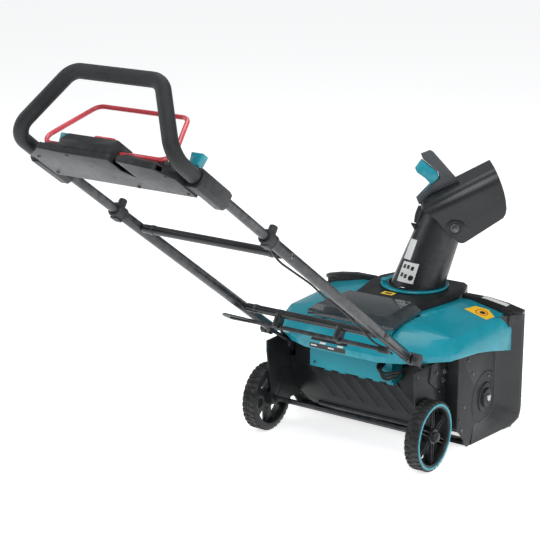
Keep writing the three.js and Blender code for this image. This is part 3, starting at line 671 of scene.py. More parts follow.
def buildCamera():
    camera = bpy.data.objects.new("camera", bpy.data.cameras.new("camera"))
    camera.data.lens = cameraLook["lens"]
    camera.data.sensor_width = 36
    camera.location = bodySpace @ Vector(cameraLook["place"])
    azimuth, elevation, roll = (math.radians(cameraLook[key]) for key in ("azimuth", "elevation", "roll"))
    turn = Matrix.Rotation(azimuth, 3, "Z") @ Matrix.Rotation(math.pi / 2 - elevation, 3, "X")
    camera.rotation_euler = (turn @ Matrix.Rotation(roll, 3, "Z")).to_euler()
    scene.collection.objects.link(camera)
    scene.camera = camera


buildStage()
buildLights()
buildCamera()
scene.view_settings.view_transform = "Standard"
print("stage, lights and camera set")


def arc(centre, radius, start, end, steps=12):
    # points of an arc, angles in degrees
    turns = [math.radians(start + (end - start) * step / steps) for step in range(steps + 1)]
    return [(centre[0] + radius * math.cos(turn), centre[1] + radius * math.sin(turn)) for turn in turns]


def mirroredPair(name, draw, space, material, body, slotNode, stem=None, sharp=32):
    # the right-hand piece, and the same piece mirrored for the left
    for side in ("right", "left"):
        nodes = [stem + "_" + side] if stem else []
        piece = drawn(draw)
        finish(
            name + "_" + side, piece, space, material, body, nodes, slots[slotNode], sharp,
            mirrorIt=side == "left",
        )


# grip loop, its foam and the bail
tubeX = 188
loopSizes = {"tube": 10, "foam": 15, "bend": 38, "bail": 4.7, "bailStub": 3.7, "bailBend": 22}
loopHalf = [(tubeX, -976, 0), (tubeX, -1055, 2), (106, -1058, 140)]
loopCorners = [(-x, y, z) for x, y, z in loopHalf] + loopHalf[::-1]
bailCorners = [
    (-30, -1015, 6), (-160, -1015, 6), (-108, -951.5, 119), (108, -951.5, 119), (160, -1015, 6),
    (-6, -1015, 6),
]


def drawGripTube(bm):
    corners = [(-tubeX, -540, 0), *loopCorners[1:-1], (tubeX, -540, 0)]
    pipe(bm, bentRoute(corners, loopSizes["bend"], 10), loopSizes["tube"])


def drawGripFoam(bm):
    route = bentRoute(loopCorners, loopSizes["bend"], 12)
    first, last = route[0], route[-1]
    ends = [Vector((0, 2.2, 0)), Vector((0, 0.8, 0))]
    start = [first, first - ends[1], first - ends[0]]
    stop = [last - ends[0], last - ends[1], last]
    whole = start + route[1:-1] + stop
    swell = [0.82, 0.95] + [1.0] * (len(whole) - 4) + [0.95, 0.82]
    pipe(bm, whole, loopSizes["foam"], 9, True, swell)


def drawBail(bm):
    route = bentRoute(bailCorners, loopSizes["bailBend"], 9)
    thin = loopSizes["bailStub"] / loopSizes["bail"]
    start, stop = Vector((-92, -1015, 6)), Vector((62, -1015, 6))
    flare = Vector((2, 0, 0))
    whole = [route[0], start, start - flare] + route[1:-1] + [stop + flare, stop, route[-1]]
    pipe(bm, whole, loopSizes["bail"], 7, True, [thin, thin] + [1.0] * (len(whole) - 4) + [thin, thin])


remake("grip_tube_bent", drawn(drawGripTube), handleSpace, "tubeBlack", "grip_tube")
remake("grip_foam_sleeve", drawn(drawGripFoam), handleSpace, "foamBlack", "grip_foam")
remake("bail_rod", drawn(drawBail), handleSpace, "bailRed", "bail")
print("grip loop and bail made")

# lower handle tubes, height latches, cross bars, clips and the clean-out tool
lowerSizes = {"tube": 12, "bar": 9.5, "barY": (-609, -152), "clipX": (-82, 82), "toolY": -146, "toolN": -30}


def drawLowerTube(bm):
    route = [(tubeX, y, 0) for y in (-690, -688, -26, -20)]
    pipe(bm, route, lowerSizes["tube"], 8, True, [0.95, 1, 1, 0.86])
    slab(
        bm, rounded([(-40, -10.5), (11.5, -10.5, 10), (11.5, 10.5, 10), (-40, 10.5)], 5), 180.4, 190.2,
        "x", 1.6,
    )
    revolve(bm, [(0, 180), (4, 180), (4, 197.6), (0, 197.6)], "x", (0, 0, 0), 20)


def drawLatch(bm):
    profile = [
        (12.3, -702), (12.3, -672.5), (14.6, -672), (15.5, -673.5), (15.5, -681), (14.7, -682), (14.7, -685),
        (15.5, -686), (15.5, -704), (14.4, -706), (10.4, -706), (10.4, -703),
    ]
    revolve(bm, profile, "y", (tubeX, 0, 0), 36, closed=True)
    knob = [(0, 12), (8.4, 12), (9, 14), (9, 25), (8.2, 28.4), (6, 29.8), (3, 30), (0, 29.6)]
    revolve(bm, knob, "z", (tubeX, -688, 0), 28)
    slab(bm, rounded([(179, -700), (197, -700), (197, -676), (179, -676)], 4), -18, -10, "z", 1.2)


def drawCrossBar(bm, barY):
    ends = [-175.6, -173, -160, -146, 146, 160, 173, 175.6]
    pipe(bm, [(x, barY, 0) for x in ends], lowerSizes["bar"], 8, True, [0.9, 1, 1, 1, 1, 1, 1, 0.9])
    for x in (-150, 150):
        profile = [(9.6, -4), (10.6, -3.4), (10.6, 3.4), (9.6, 4)]
        revolve(bm, [(0, -4), *profile, (0, 4)], "x", (x, barY, 0), 28)


def drawClip(bm, x):
    ring = arc((lowerSizes["toolY"], lowerSizes["toolN"]), 5.5, -48, 228, 20)
    outer = [
        (-156.4, -36.6), (-160, -33), (-160, -14), (-162, -6), (-160, 4), (-152, 10.6), (-143, 7), (-140, -2),
        (-136.5, -12), (-135.6, -33), (-138.6, -36.6),
    ]
    slab(bm, [*reversed(outer), *reversed(ring)][::-1], x - 7, x + 7, "x", 0.7)


def drawLowerBar(bm):
    drawCrossBar(bm, lowerSizes["barY"][1])
    for x in lowerSizes["clipX"]:
        drawClip(bm, x)


def drawTool(bm):
    blade = rounded(
        [
            (-235, -152), (-222, -166), (-160, -162), (-150, -151), (-150, -141), (-160, -130),
            (-222, -126), (-235, -140),
        ],
        6,
    )
    slab(bm, blade, -31.5, -28.5, "z", 0.8)
    slab(bm, rounded([(-214, -147.5), (-150, -149), (-150, -143), (-214, -144.5)], 1), -34.6, -25.4, "z", 1.2)
    toolY, toolN = lowerSizes["toolY"], lowerSizes["toolN"]
    pipe(bm, [(-156, toolY, toolN), (190, toolY, toolN)], 5, 6)
    grip = [(0, 186), (5, 186), (8, 189)]
    for ridge in range(5):
        start = 190 + ridge * 4.6
        grip += [(8, start), (8, start + 2.6), (7.1, start + 3.1), (7.1, start + 4.1)]
    revolve(bm, grip + [(6.4, 214), (0, 214)], "x", (0, toolY, toolN), 24)


mirroredPair(
    "lower_tube_bent", drawLowerTube, handleSpace, "tubeBlack", "lower_handle", "lower_tube_right",
    "lower_tube",
)
mirroredPair(
    "height_latch", drawLatch, handleSpace, "panelBlack", "lower_handle", "height_clamp_right",
    "height_clamp",
)
upperBar = drawn(drawCrossBar, lowerSizes["barY"][0])
remake("cross_bar_upper", upperBar, handleSpace, "tubeBlack", "upper_cross_bar")
remake("cross_bar_lower", drawn(drawLowerBar), handleSpace, "tubeBlack", "lower_cross_bar")
remake("clean_out_tool_shaped", drawn(drawTool), handleSpace, "panelBlack", "clean_out_tool")


def drawTubeBolts(bm):
    places = [aim((side * 199.4, y, 0), (side, 0, 0)) for side in (-1, 1) for y in lowerSizes["barY"]]
    stamp(bm, panHead(6.2, 3.4, 0.42), *places)


def drawPanelScrews(bm):
    spots = [(-152, -1006), (-158, -934), (158, -934), (152, -1006), (-60, -1036), (40, -930)]
    stamp(bm, panHead(3.6, 3.2, 0.4), *[aim((x, y, -20.6), (0, 0, -1)) for x, y in spots])


finish("tube_bolts", drawn(drawTubeBolts), handleSpace, "darkSteel", "lower_handle", slotName=slots["axle"])
finish(
    "panel_screws", drawn(drawPanelScrews), handleSpace, "darkSteel", "upper_handle",
    slotName=slots["auger_shaft"],
)
print("handle made")

# chute, ring, rack and deflector hood
chuteSizes = {
    "low": 332.3, "high": 560, "lean": 0.344, "foot": 69, "top": 55, "wall": 3.5, "flute": 0.022,
    "sides": 96,
}
pivotU, pivotZ = tiltPoint.x, tiltPoint.z
hoodSizes = {"half": 66, "top": 92, "round": 44, "tilt": 28, "reach": 90.6}
rackSizes = {"root": 88.4, "tip": 93.6, "teeth": 15, "pitch": 1.86}


def drawChuteForm(bm, inset, flute):
    height = chuteSizes["high"] - chuteSizes["low"]
    made = bmesh.ops.create_cone(
        bm, cap_ends=True, segments=chuteSizes["sides"], radius1=chuteSizes["foot"] - inset,
        radius2=chuteSizes["top"] - inset, depth=height,
    )["verts"]
    for vert in made:
        turn = math.atan2(vert.co.y, vert.co.x)
        pinch = 1 - flute * max(0.0, math.cos(4 * turn + 0.5)) ** 2
        vert.co.x *= pinch
        vert.co.y *= pinch
    bmesh.ops.translate(bm, verts=made, vec=(8, 0, (chuteSizes["high"] + chuteSizes["low"]) / 2))
    for vert in made:
        vert.co.x += chuteSizes["lean"] * (vert.co.z - chuteSizes["low"])


def makeChute():
    outer = drawn(drawChuteForm, 0, chuteSizes["flute"])
    collar = drawn(
        revolve,
        [
            (0, 303), (67, 303), (68, 304), (68, 317), (76, 317), (76, 322), (68, 322.4), (68, 333.4),
            (0, 333.4),
        ],
        "z", steps=72,
    )
    outer = combined(outer, collar, "UNION")
    bore = drawn(drawChuteForm, chuteSizes["wall"], chuteSizes["flute"])
    bmesh.ops.translate(bore, verts=bore.verts, vec=(-1, 0, -1))
    outer = combined(
        outer, drawn(revolve, [(0, 300), (64, 300), (64, 336), (0, 336)], "z", steps=72), "DIFFERENCE",
    )
    outer = combined(outer, bore, "DIFFERENCE")
    above = [(-60, 531), (14, 531), (107, 452), (240, 452), (240, 640), (-60, 640)]
    outer = combined(outer, drawn(slab, above, -90, 90, "y", 0), "DIFFERENCE")
    return outer


def hoodChannel(half, top, bend):
    # the hood's section: straight sides and a rounded roof, laid along the throw
    section = [(-half, -100), (half, -100)]
    section += arc((half - bend, top - bend), bend, 0, 90, 18)
    section += arc((bend - half, top - bend), bend, 90, 180, 18)
    bm = drawn(slab, section, -170, 230, "x", 0)
    bmesh.ops.rotate(
        bm, verts=bm.verts, cent=(0, 0, 0),
        matrix=Matrix.Rotation(-math.radians(hoodSizes["tilt"]), 3, "Y"),
    )
    bmesh.ops.translate(bm, verts=bm.verts, vec=(pivotU, 0, pivotZ))
    return bm


def makeHood():
    crown = arc((pivotU, pivotZ), hoodSizes["reach"], 151.4, 126, 8)
    front = [
        (100, 592), (182, 634), (190, 616), (198, 596), (204, 578), (208.5, 560), (211.5, 538),
        (210, 525), (204, 514),
    ]
    heel = [(115, 454), (109, 451.5), (104, 451), (98.5, 453), (94, 456), (65, 483), (42, 510)]
    outer = combined(drawn(slab, crown + front + heel, -90, 90, "y", 0),
                     hoodChannel(hoodSizes["half"], hoodSizes["top"], hoodSizes["round"]), "INTERSECT")
    edges = [edge for edge in outer.edges if edge.calc_face_angle(0) > math.radians(40)]
    bmesh.ops.bevel(
        outer, geom=edges, offset=1.1, segments=3, profile=0.5, affect="EDGES", clamp_overlap=True,
        material=-1,
    )
    innerCrown = arc((pivotU, pivotZ), hoodSizes["reach"] - 3.5, 151.4, 126, 8)
    inside = innerCrown + [(101, 588), (190, 633), (260, 600), (240, 440), (100, 420), (-30, 500)]
    inner = combined(
        drawn(slab, inside, -90, 90, "y", 0),
        hoodChannel(hoodSizes["half"] - 3.5, hoodSizes["top"] - 3, hoodSizes["round"] - 3), "INTERSECT",
    )
    outer = combined(outer, inner, "DIFFERENCE")
    notch = arc((pivotU, pivotZ), 60, 122, 160, 6) + arc((pivotU, pivotZ), 110, 160, 122, 6)
    outer = combined(outer, drawn(slab, notch, -8, 8, "y", 0), "DIFFERENCE")
    return combined(
        outer, drawn(revolve, [(0, -90), (6.3, -90), (6.3, 90), (0, 90)], "y", (pivotU, 0, pivotZ), 24),
        "DIFFERENCE",
    )


def drawHoodBoss(bm):
    # a raised pad and a round rim about each pivot bolt
    for side in (-1, 1):
        rim = [(13.5, 65.8), (13.5, 67.4), (14.2, 68), (16.4, 68), (17, 67.4), (17, 65.8)]
        profile = [(radius, side * height) for radius, height in rim]
        revolve(bm, profile, "y", (pivotU, 0, pivotZ), 40, closed=True)
        pad = arc((pivotU, pivotZ), 24, 110, 290, 14)
        pad += [(pivotU + 20, pivotZ - 21), (pivotU + 42, pivotZ - 2), (pivotU + 14, pivotZ + 21)]
        slab(bm, pad, *sorted((side * 65.6, side * 66.5)), "y", 0.35)


def drawPivotBolt(bm, side):
    stamp(bm, hexHead(8, 5.6, 1.32), aim((pivotU, side * 66.9, pivotZ), (0, side, 0)))
    revolve(
        bm, [(0, side * 60.3), (6, side * 60.3), (6, side * 66.9), (0, side * 66.9)], "y",
        (pivotU, 0, pivotZ), 24,
    )


def drawRack(bm):
    saw = []
    root, tip = rackSizes["root"], rackSizes["tip"]
    for tooth in range(rackSizes["teeth"]):
        turn = math.radians(153.5 + tooth * rackSizes["pitch"])
        for reach, ahead in ((root, 0), (tip, 0.012), (tip, 0.017)):
            saw.append((pivotU + reach * math.cos(turn + ahead), pivotZ + reach * math.sin(turn + ahead)))
    back = arc((pivotU, pivotZ), 76, 186, 153, 12)
    slab(bm, saw + arc((pivotU, pivotZ), root, 181.6, 186, 3) + back, -4.4, 4.4, "y", 0.25)
    slab(bm, arc((pivotU, pivotZ), 88, 153.2, 185.8, 14) + back, -6, 6, "y", 0.4)
    slab(bm, rounded([(-14, 486), (4, 482), (6, 462), (-2, 464)], 1), -6.5, 6.5, "y", 0.6)


def drawRing(bm):
    profile = [
        (68.4, 326.5), (68.4, 331), (70, 331.8), (80.4, 331.8), (82, 332.6), (84, 332.4), (85, 330.8),
        (84.6, 328), (83, 326.5),
    ]
    revolve(bm, profile, "z", steps=96, closed=True)


def drawPin(bm):
    profile = [
        (0, 332.4), (11, 332.4), (11, 333.6), (7, 334.4), (6.4, 336), (6.6, 337), (9, 339), (9.4, 341.4),
        (8, 344), (4, 345), (0, 344.6),
    ]
    revolve(bm, profile, "z", (-75, 0, 0), 28)


chuteTube = remake("chute_tube", makeChute(), chuteSpace, "satinBlack", "chute", sharp=28)
remake("deflector_hood_shell", makeHood(), chuteSpace, "satinBlack", "deflector_hood", sharp=28)
bosses = drawn(drawHoodBoss)
finish("deflector_bosses", bosses, chuteSpace, "satinBlack", "deflector", slotName=slots["deflector_hood"])
remake("deflector_rack_teeth", drawn(drawRack), chuteSpace, "satinBlack", "deflector_rack")
remake("turning_ring", drawn(drawRing), chuteSpace, "coverTeal", "chute_ring")
remake("turning_ring_pin", drawn(drawPin), chuteSpace, "coverTeal", "chute_lock_pin")
for node, side in (("deflector_pivot_bolt_right", -1), ("deflector_pivot_bolt_left", 1)):
    remake(node + "_hex", drawn(drawPivotBolt, side), chuteSpace, "darkSteel", node)
handleScrews = drawn(
    stamp, panHead(3, 1.6, 0.4), *[aim((58, 14 * side, 603), (0, side, 0)) for side in (-1, 1)],
)
finish("handle_screws", handleScrews, chuteSpace, "darkSteel", "deflector", slotName=slots["axle"])
print("chute and deflector made")

# wheels: rim and web, spokes, tread blocks and the coloured ring on the outer face
wheelSizes = {"radius": 83, "inner": 207, "outer": 245, "spokes": 6, "blocks": 34}


def spokeTurns(offset):
    # turns about the axle, one for each spoke
    count = wheelSizes["spokes"]
    return [Matrix.Rotation(math.radians(offset + 360 * index / count), 4, "X") for index in range(count)]


def makeWheel():
    inner, outer = wheelSizes["inner"], wheelSizes["outer"]
    rim = [
        (64, inner + 1), (66, inner), (76, inner), (79.8, inner + 2), (81.3, inner + 5),
        (81.3, outer - 6), (80, outer - 2.4), (77.6, outer - 0.6), (73.6, outer - 0.4),
        (72.8, outer - 1.6), (70, outer - 1.8), (68, outer - 2.6), (67, outer - 5), (66.4, inner + 17),
        (64, inner + 16), (20, inner + 16), (19, inner + 20), (18.4, outer - 5), (17, outer - 3),
        (6.8, outer - 3), (6.8, inner + 1), (18, inner + 1), (19, inner + 11), (62, inner + 12.5),
    ]
    web = drawn(revolve, rim, "x", (0, 0, 0), 84, closed=True)
    window = bmesh.new()
    outline = rounded([(-9, 25), (9, 25), (21, 58), (11, 61.5), (-11, 61.5), (-21, 58)], 5, 4)
    stamp(window, lambda part: slab(part, outline, inner + 2, outer - 2, "x", 0), *spokeTurns(30))
    return combined(web, window, "DIFFERENCE")


def drawSpokes(bm):
    inner, outer = wheelSizes["inner"], wheelSizes["outer"]

    def spoke(part):
        slab(part, rounded([(-6.5, 14), (6.5, 14), (5, 69), (-5, 69)], 1), inner + 15, inner + 20, "x", 1)
        for side in (-1, 1):
            edge = [(side * 3.2, 15), (side * 6, 15), (side * 5, 68.5), (side * 2.8, 68.5)]
            slab(part, edge if side > 0 else edge[::-1], inner + 18, outer - 7, "x", 0.8)
    stamp(bm, spoke, *spokeTurns(0))
    screw = aim((outer - 5, 0, 14), (1, 0, 0))
    stamp(bm, panHead(3, 2, 0.45), *[turn @ screw for turn in spokeTurns(30)])


def drawTread(bm):
    inner, outer = wheelSizes["inner"], wheelSizes["outer"]

    def shoulder(part):
        slab(
            part, [(inner + 2.4, -5.4), (inner + 14, -4.8), (inner + 16.4, 4.8), (inner + 2.4, 5.4)], 79,
            83, "z", 1,
        )

    def middle(part):
        slab(
            part, [(inner + 16.8, -3.4), (inner + 20.6, -4.6), (inner + 21.4, 3.4), (inner + 17.6, 4.6)],
            79.6, 82.8, "z", 0.8,
        )
    step = 2 * math.pi / wheelSizes["blocks"]
    turns = [Matrix.Rotation(step * index, 4, "X") for index in range(wheelSizes["blocks"])]
    stamp(bm, shoulder, *turns)
    stamp(bm, middle, *[turn @ Matrix.Rotation(step / 2, 4, "X") for turn in turns])
    across = Matrix.Translation((inner + outer, 0, 0)) @ Matrix.Rotation(math.pi, 4, "Z")
    stamp(bm, shoulder, *[turn @ Matrix.Rotation(step / 2, 4, "X") @ across for turn in turns])


def drawWheelRing(bm):
    outer = wheelSizes["outer"]
    profile = [
        (72.4, outer - 2.4), (72.4, outer - 0.6), (73.4, outer + 0.2), (76.8, outer + 0.2),
        (78, outer - 0.6), (78, outer - 2.4),
    ]
    revolve(bm, profile, "x", (0, 0, 0), 96, closed=True)


def drawCap(bm):
    profile = [(0, 243), (12, 243), (12, 249), (11.2, 250.4), (8.4, 250.8), (8, 252.4), (7, 253), (0, 253)]
    revolve(bm, profile, "x", (0, 0, 0), 36)


wheelSpace = bodySpace @ Matrix.Translation((0, 0, wheelSizes["radius"]))
for side, mirrorIt in (("right", False), ("left", True)):
    wheel = "wheel_" + side
    remake(wheel + "_web", makeWheel(), wheelSpace, "wheelBlack", wheel, mirrorIt=mirrorIt)
    for label, draw, material in (
        ("_spokes", drawSpokes, "wheelBlack"),
        ("_tread", drawTread, "tyreBlack"),
        ("_ring", drawWheelRing, "coverTeal"),
    ):
        finish(
            wheel + label, drawn(draw), wheelSpace, material, wheel, slotName=slots[wheel],
            mirrorIt=mirrorIt,
        )
    finish("axle_cap_round_" + side, drawn(drawCap), wheelSpace, "wheelBlack", wheel, ["axle_cap_" + side],
           slots["axle_cap_right"], mirrorIt=mirrorIt)
print("wheels made")

# side plate dressing: pressed flare, disc about the shaft, bolts
# each line of the flare: y, foot height, corner radius, x, x at the foot's end, where the foot ends
flareSizes = {"top": 291, "thickness": 1.4, "lines": [
    (297, 46, 46, 240.6, 240.4, 196), (304, 40, 48, 243.4, 240.6, 194), (330, 22, 52, 262.5, 241, 190),
    (354, 6, 52, 279, 241.6, 184), (361, 2, 52, 282, 242, 182), (366, 0.6, 54, 282, 241.6, 180),
]}


def flareLoop(y, footZ, bend, x, footX, tail):
    # one line of the flare: down the front, round the corner and back along the foot
    top = flareSizes["top"]
    down = [(y, top)] + [(y, top - (top - footZ - bend) * step / 6) for step in range(1, 6)]
    turn = arc((y - bend, footZ + bend), bend, 0, -90, 10)
    along = [(y - bend - (y - bend - tail) * step / 5, footZ) for step in range(1, 6)]
    points = down + turn + along
    last = len(points) - 1
    start = len(down) + 4
    return [
        (x + (footX - x) * max(0.0, (index - start) / (last - start)), point[0], point[1])
        for index, point in enumerate(points)
    ]


def drawFlare(bm):
    rows = []
    for line in flareSizes["lines"]:
        verts = [bm.verts.new(point) for point in flareLoop(*line)]
        rows.append([bm.edges.new(pair) for pair in zip(verts, verts[1:])])
    for first, second in zip(rows, rows[1:]):
        bmesh.ops.bridge_loops(bm, edges=first + second)
    bmesh.ops.recalc_face_normals(bm, faces=bm.faces)
    if sum(face.normal.x for face in bm.faces) < 0:
        bmesh.ops.reverse_faces(bm, faces=bm.faces)
    bmesh.ops.solidify(bm, geom=list(bm.faces), thickness=flareSizes["thickness"])


def drawPressedDisc(bm):
    for reach in (62, 34):
        rim = [(reach, 240), (reach + 1.2, 241.2), (reach + 3, 241.4), (reach + 5, 240)]
        revolve(bm, rim, "x", (0, 250, 102), 72, closed=True)


plateBolts = [
    (
        panHead(4.2, 2.8, 0.45), 240.2,
        [
            (186, 181), (229, 86), (146, 108), (123, 80), (135, 53), (198, 11), (212, 240), (160, 222),
            (270, 150), (236, 124),
        ],
    ),
    (hexHead(5.2, 4.4, 1.4), 209.2, [(59, 215), (102, 206), (96, 186)]),
    (panHead(3.4, 2.4, 0.45), 205.2, [(-20, 226), (20, 150), (60, 120), (84, 160)]),
]


def drawPlateBolts(bm):
    for head, x, spots in plateBolts:
        stamp(bm, head, *[aim((x, y, z), (1, 0, 0)) for y, z in spots])


mirroredPair("side_flare", drawFlare, bodySpace, "satinBlack", "body", "side_plate_right", sharp=50)
mirroredPair("pressed_disc", drawPressedDisc, bodySpace, "bodyBlack", "body", "side_plate_right")
mirroredPair("plate_bolts", drawPlateBolts, bodySpace, "darkSteel", "body", "axle")


def drawLipPacking(bm):
    # closes the corner under the lip, behind the end of the cover
    box(bm, (229, 322, 262), (262, 352, 291.5), 2)
    box(bm, (128, 331.5, 281), (262, 336, 299), 1)


mirroredPair("lip_packing", drawLipPacking, bodySpace, "bodyBlack", "body", "auger_housing")


def drawLugScrews(bm):
    lugs = [aim((x, 42, 172.4), (0, 0, -1)) for x in (-70, -30, 26, 66, 104)]
    stamp(bm, panHead(4.4, 3, 0.45), *lugs)
    stamp(bm, panHead(3.6, 2, 0.45), *[aim((x, 4.9, z), (0, -1, 0)) for x in (-92, 106) for z in (196, 240)])


def drawHarness(bm):
    for low, out in ((206, 0), (197, 7), (214, -6)):
        corners = [
            (98 + out, 20, 238), (92 + out, -8, 222), (112, -14 - out / 2, low), (142 - out, 0, low + 8),
            (150, 30, 232),
        ]
        pipe(bm, bentRoute(corners, 14, 6), 3.1, 5)


finish("lug_screws", drawn(drawLugScrews), bodySpace, "darkSteel", "body", slotName=slots["axle"])
finish("wire_loops", drawn(drawHarness), bodySpace, "cableBlack", "body", slotName=slots["control_cable"])
print("body dressing made")

# auger: twisted rubber flights with a thick lip, throwing paddle
augerSizes = {"radius": 88, "twist": 0.018, "start": 41, "end": 231, "hub": 20, "bore": 8.3, "cuts": 40}


def drawFlight(bm):
    start, end, radius, cuts = (augerSizes[key] for key in ("start", "end", "radius", "cuts"))
    hub, bore = augerSizes["hub"], augerSizes["bore"]
    length = end - start
    middle = (end + start) / 2
    lip = [(4, 78), (5.4, 82), (5.4, radius - 1.4), (4, radius)]
    outline = [(-4, 16), (4, 16)] + lip + [(-a, b) for a, b in lip[::-1]]
    for side in (-1, 1):
        part = drawn(slab, [(a, b * side) for a, b in outline][::side], -length / 2, length / 2, "x", 0)
        for step in range(1, cuts):
            place = -length / 2 + length * step / cuts
            bmesh.ops.bisect_plane(
                part, geom=[*part.verts, *part.edges, *part.faces], plane_co=(place, 0, 0),
                plane_no=(1, 0, 0),
            )
        for vert in part.verts:
            turn = (vert.co.x + length / 2) * augerSizes["twist"]
            vert.co = Matrix.Rotation(turn, 3, "X") @ vert.co
        mesh = bpy.data.meshes.new("flight")
        part.to_mesh(mesh)
        part.free()
        mesh.transform(Matrix.Translation((middle, 0, 0)))
        bm.from_mesh(mesh)
        bpy.data.meshes.remove(mesh)
    tube = [(bore, start), (hub - 1, start), (hub, start + 1), (hub, end - 1), (hub - 1, end), (bore, end)]
    revolve(bm, tube, "x", (0, 0, 0), 40, closed=True)
    stamp(
        bm, hexHead(5, 4, 1.3),
        *[aim((x, 0, 0), (0, 1, 0)) @ Matrix.Translation((0, 0, 20)) for x in (62, 210)],
    )


def drawPaddle(bm):
    for side in (-1, 1):
        sheet = rounded([(-38, side * 17), (38, side * 17), (38, side * 88), (-38, side * 88)], 7)
        slab(bm, sheet, -5, 5, "y", 1.6)
        slab(
            bm, rounded([(-30, side * 20), (30, side * 20), (30, side * 40), (-30, side * 40)], 3), -7.4,
            7.4, "y", 1,
        )
    revolve(
        bm, [(8.3, -40), (19, -40), (20, -39), (20, 39), (19, 40), (8.3, 40)], "x", (0, 0, 0), 40,
        closed=True,
    )
    spots = [(x, z) for x in (-20, 20) for z in (-30, 30)]
    stamp(
        bm, hexHead(4.6, 4, 1.35),
        *[aim((x, side * 7.2, z), (0, side, 0)) for x, z in spots for side in (-1, 1)],
    )


augerSpace = bodySpace @ Matrix.Translation((0, 250, 102))
mirroredPair(
    "auger_spiral", drawFlight, augerSpace, "augerRubber", "auger", "auger_flight_right", "auger_flight",
)
remake("auger_throwing_paddle", drawn(drawPaddle), augerSpace, "augerRubber", "auger_paddle")
print("auger made")

# pieces kept close to the frame's own shapes, with rounded edges
plainPieces = {
    "auger_housing": ("bodyBlack", 1.0), "scraper_bar": ("darkSteel", 0.6),
    "side_plate_right": ("bodyBlack", 1.4), "side_plate_left": ("bodyBlack", 1.4),
    "rear_shroud": ("bodyBlack", 1.5), "top_cover": ("coverTeal", 2.2), "chute_dome": ("bodyBlack", 2.0),
    "lid_hinge_pin": ("steel", 0.3), "motor_stator": ("darkSteel", 1.0), "controller": ("bodyBlack", 2.0),
    "drive_belt": ("augerRubber", 0.4), "belt_cover": ("bodyBlack", 2.0),
    "lower_housing": ("housingTeal", 1.5), "auger_bearing_left": ("steel", 0.5),
    "auger_bearing_right": ("steel", 0.5), "bearing_housing": ("bodyBlack", 1.2),
    "axle": ("tubeBlack", 0.4), "handle_leg_right": ("tubeBlack", 0.8),
    "handle_leg_left": ("tubeBlack", 0.8), "auger_shaft": ("steel", 0.6), "auger_pulley": ("steel", 0.6),
    "motor_rotor": ("steel", 0.5), "deflector_handle": ("handleGrey", 1.6),
    "deflector_trigger": ("coverTeal", 1.2), "battery_lid": ("smokedClear", 2.5),
    "battery_pack_left": ("handleGrey", 2.0), "battery_pack_right": ("handleGrey", 2.0),
    "fold_knob_right": ("panelBlack", 1.2), "fold_knob_left": ("panelBlack", 1.2),
    "panel_lower": ("panelBlack", 1.5), "panel_upper": ("panelBlack", 1.5),
    "switch_box": ("panelBlack", 2.0), "lock_off_button": ("controlRed", 2.5),
    "quick_lever_right": ("coverTeal", 1.5), "quick_lever_left": ("coverTeal", 1.5),
    "control_cable": ("cableBlack", 0.1),
}
skins = {"chute": chuteTube}
for node, (material, bevel) in plainPieces.items():
    skins[node] = softened(node, material, bevel)
print("pieces softened:", len(plainPieces))

# labels: thin sheets laid on a node's surface, without lettering
def decal(name, node, space, origin, across, up, outline, material, lift, cells):
    target = skins[node].data
    tree = BVHTree.FromPolygons(
        [vert.co for vert in target.vertices], [face.vertices for face in target.polygons],
    )
    reach = max(max(abs(a), abs(b)) for a, b in outline)
    bm = bmesh.new()
    bmesh.ops.create_grid(bm, x_segments=cells, y_segments=cells, size=reach * 1.02)
    for first, second in zip(outline, outline[1:] + outline[:1]):
        edge = Vector((second[0] - first[0], second[1] - first[1], 0))
        bmesh.ops.bisect_plane(
            bm, geom=[*bm.verts, *bm.edges, *bm.faces], plane_co=(*first, 0),
            plane_no=(edge.y, -edge.x, 0), clear_outer=True,
        )
    sideways, upwards = Vector(across).normalized(), Vector(up).normalized()
    facing = sideways.cross(upwards).normalized()
    turned = space.to_3x3()
    inward = (turned @ -facing).normalized()
    missed = []
    for vert in bm.verts:
        start = space @ (Vector(origin) + sideways * vert.co.x + upwards * vert.co.y + facing * 60)
        hit, normal, index, distance = tree.ray_cast(start, inward, 0.16)
        if hit is None:
            missed.append(vert)
        else:
            vert.co = hit - inward * (lift / 1000)
    bmesh.ops.delete(bm, geom=missed, context="VERTS")
    bmesh.ops.recalc_face_normals(bm, faces=bm.faces)
    if sum(face.normal.dot(inward) for face in bm.faces) > 0:
        bmesh.ops.reverse_faces(bm, faces=bm.faces)
    bmesh.ops.solidify(bm, geom=list(bm.faces), thickness=0.00015)
    finish(name, bm, Matrix.Identity(4), material, nodeBody(node), slotName=slots[node], doubles=0)


def boxOutline(halfWidth, halfHeight, centre=(0, 0)):
    signs = ((-1, -1), (1, -1), (1, 1), (-1, 1))
    return [(centre[0] + across * halfWidth, centre[1] + up * halfHeight) for across, up in signs]


def discOutline(centre, radius, sides=16):
    return arc(centre, radius, 0, 360 - 360 / sides, sides - 1)


chuteAcross, chuteUp = (0.74, -0.67, 0), (0.26, 0.04, 0.95)
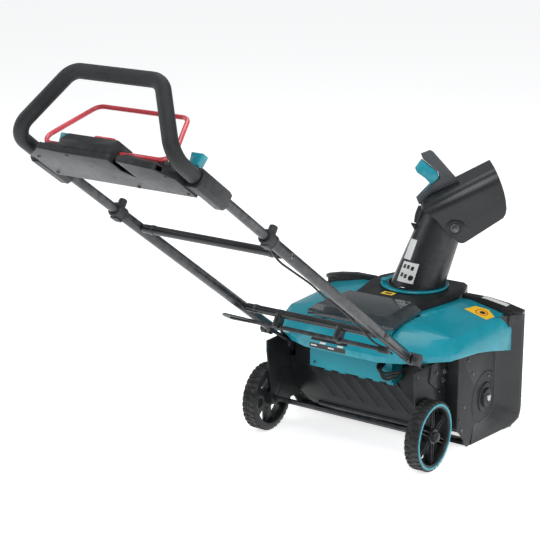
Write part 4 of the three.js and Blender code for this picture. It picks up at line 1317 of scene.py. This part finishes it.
# where a label lies: node, space, its centre, and which way its width and height run
labelSpots = {
    "chuteLow": ("chute", chuteSpace, (-22, -46, 372), chuteAcross, chuteUp),
    "chuteHigh": ("chute", chuteSpace, (-20, -34, 428), chuteAcross, chuteUp),
    "cover": ("top_cover", bodySpace, (200, 292, 300), (1, 0, -0.2), (0, 1, 0)),
    "dome": ("chute_dome", bodySpace, (-18, 222, 330), (1, 0, 0), (0, 1, 0)),
    "rating": ("top_cover", bodySpace, (-36, -20, 257), (1, 0, 0), (0, 0, 1)),
    "lip": ("auger_housing", bodySpace, (212, 345, 320), (1, 0, 0), (0, 1, 0)),
}
chuteMarks = [(-14, 14), (-2, 14), (11, 12), (-14, -8), (-2, -10)]
ratingMarks = [(-38 + index * 24, 3 if index % 2 else -5) for index in range(4)]
labels = [
    ("chute_label_low", "chuteLow", boxOutline(24, 26), "labelWhite", 0.25, 14),
    ("chute_label_high", "chuteHigh", boxOutline(13, 26), "labelWhite", 0.25, 14),
    *[
        ("chute_mark_%d" % index, "chuteLow", boxOutline(4, 5, mark), "labelBlack", 0.45, 6)
        for index, mark in enumerate(chuteMarks)
    ],
    ("chute_mark_disc", "chuteLow", discOutline((14, -12), 7), "labelBlack", 0.45, 14),
    ("cover_label", "cover", [(-34, -22), (30, -26), (36, 4), (8, 26), (-24, 18)], "labelYellow", 0.25, 14),
    ("cover_label_ring", "cover", discOutline((4, -2), 16, 22), "labelOrange", 0.45, 14),
    ("cover_label_disc", "cover", discOutline((4, -2), 12.5, 22), "labelYellow", 0.6, 14),
    ("cover_label_mark", "cover", discOutline((6, -2), 7.5), "labelBlack", 0.8, 14),
    ("dome_label", "dome", boxOutline(16, 11), "labelYellow", 0.25, 14),
    ("dome_label_mark", "dome", boxOutline(9, 5), "labelBlack", 0.45, 14),
    ("rating_label", "rating", boxOutline(50, 11), "labelBlack", 0.25, 14),
    *[
        ("rating_mark_%d" % index, "rating", boxOutline(8, 1.6, mark), "labelWhite", 0.45, 6)
        for index, mark in enumerate(ratingMarks)
    ],
    ("lip_label", "lip", boxOutline(34, 9), "labelWhite", 0.25, 14),
]
for name, spot, outline, material, lift, cells in labels:
    decal(name, *labelSpots[spot], outline, material, lift, cells)
print("labels made")
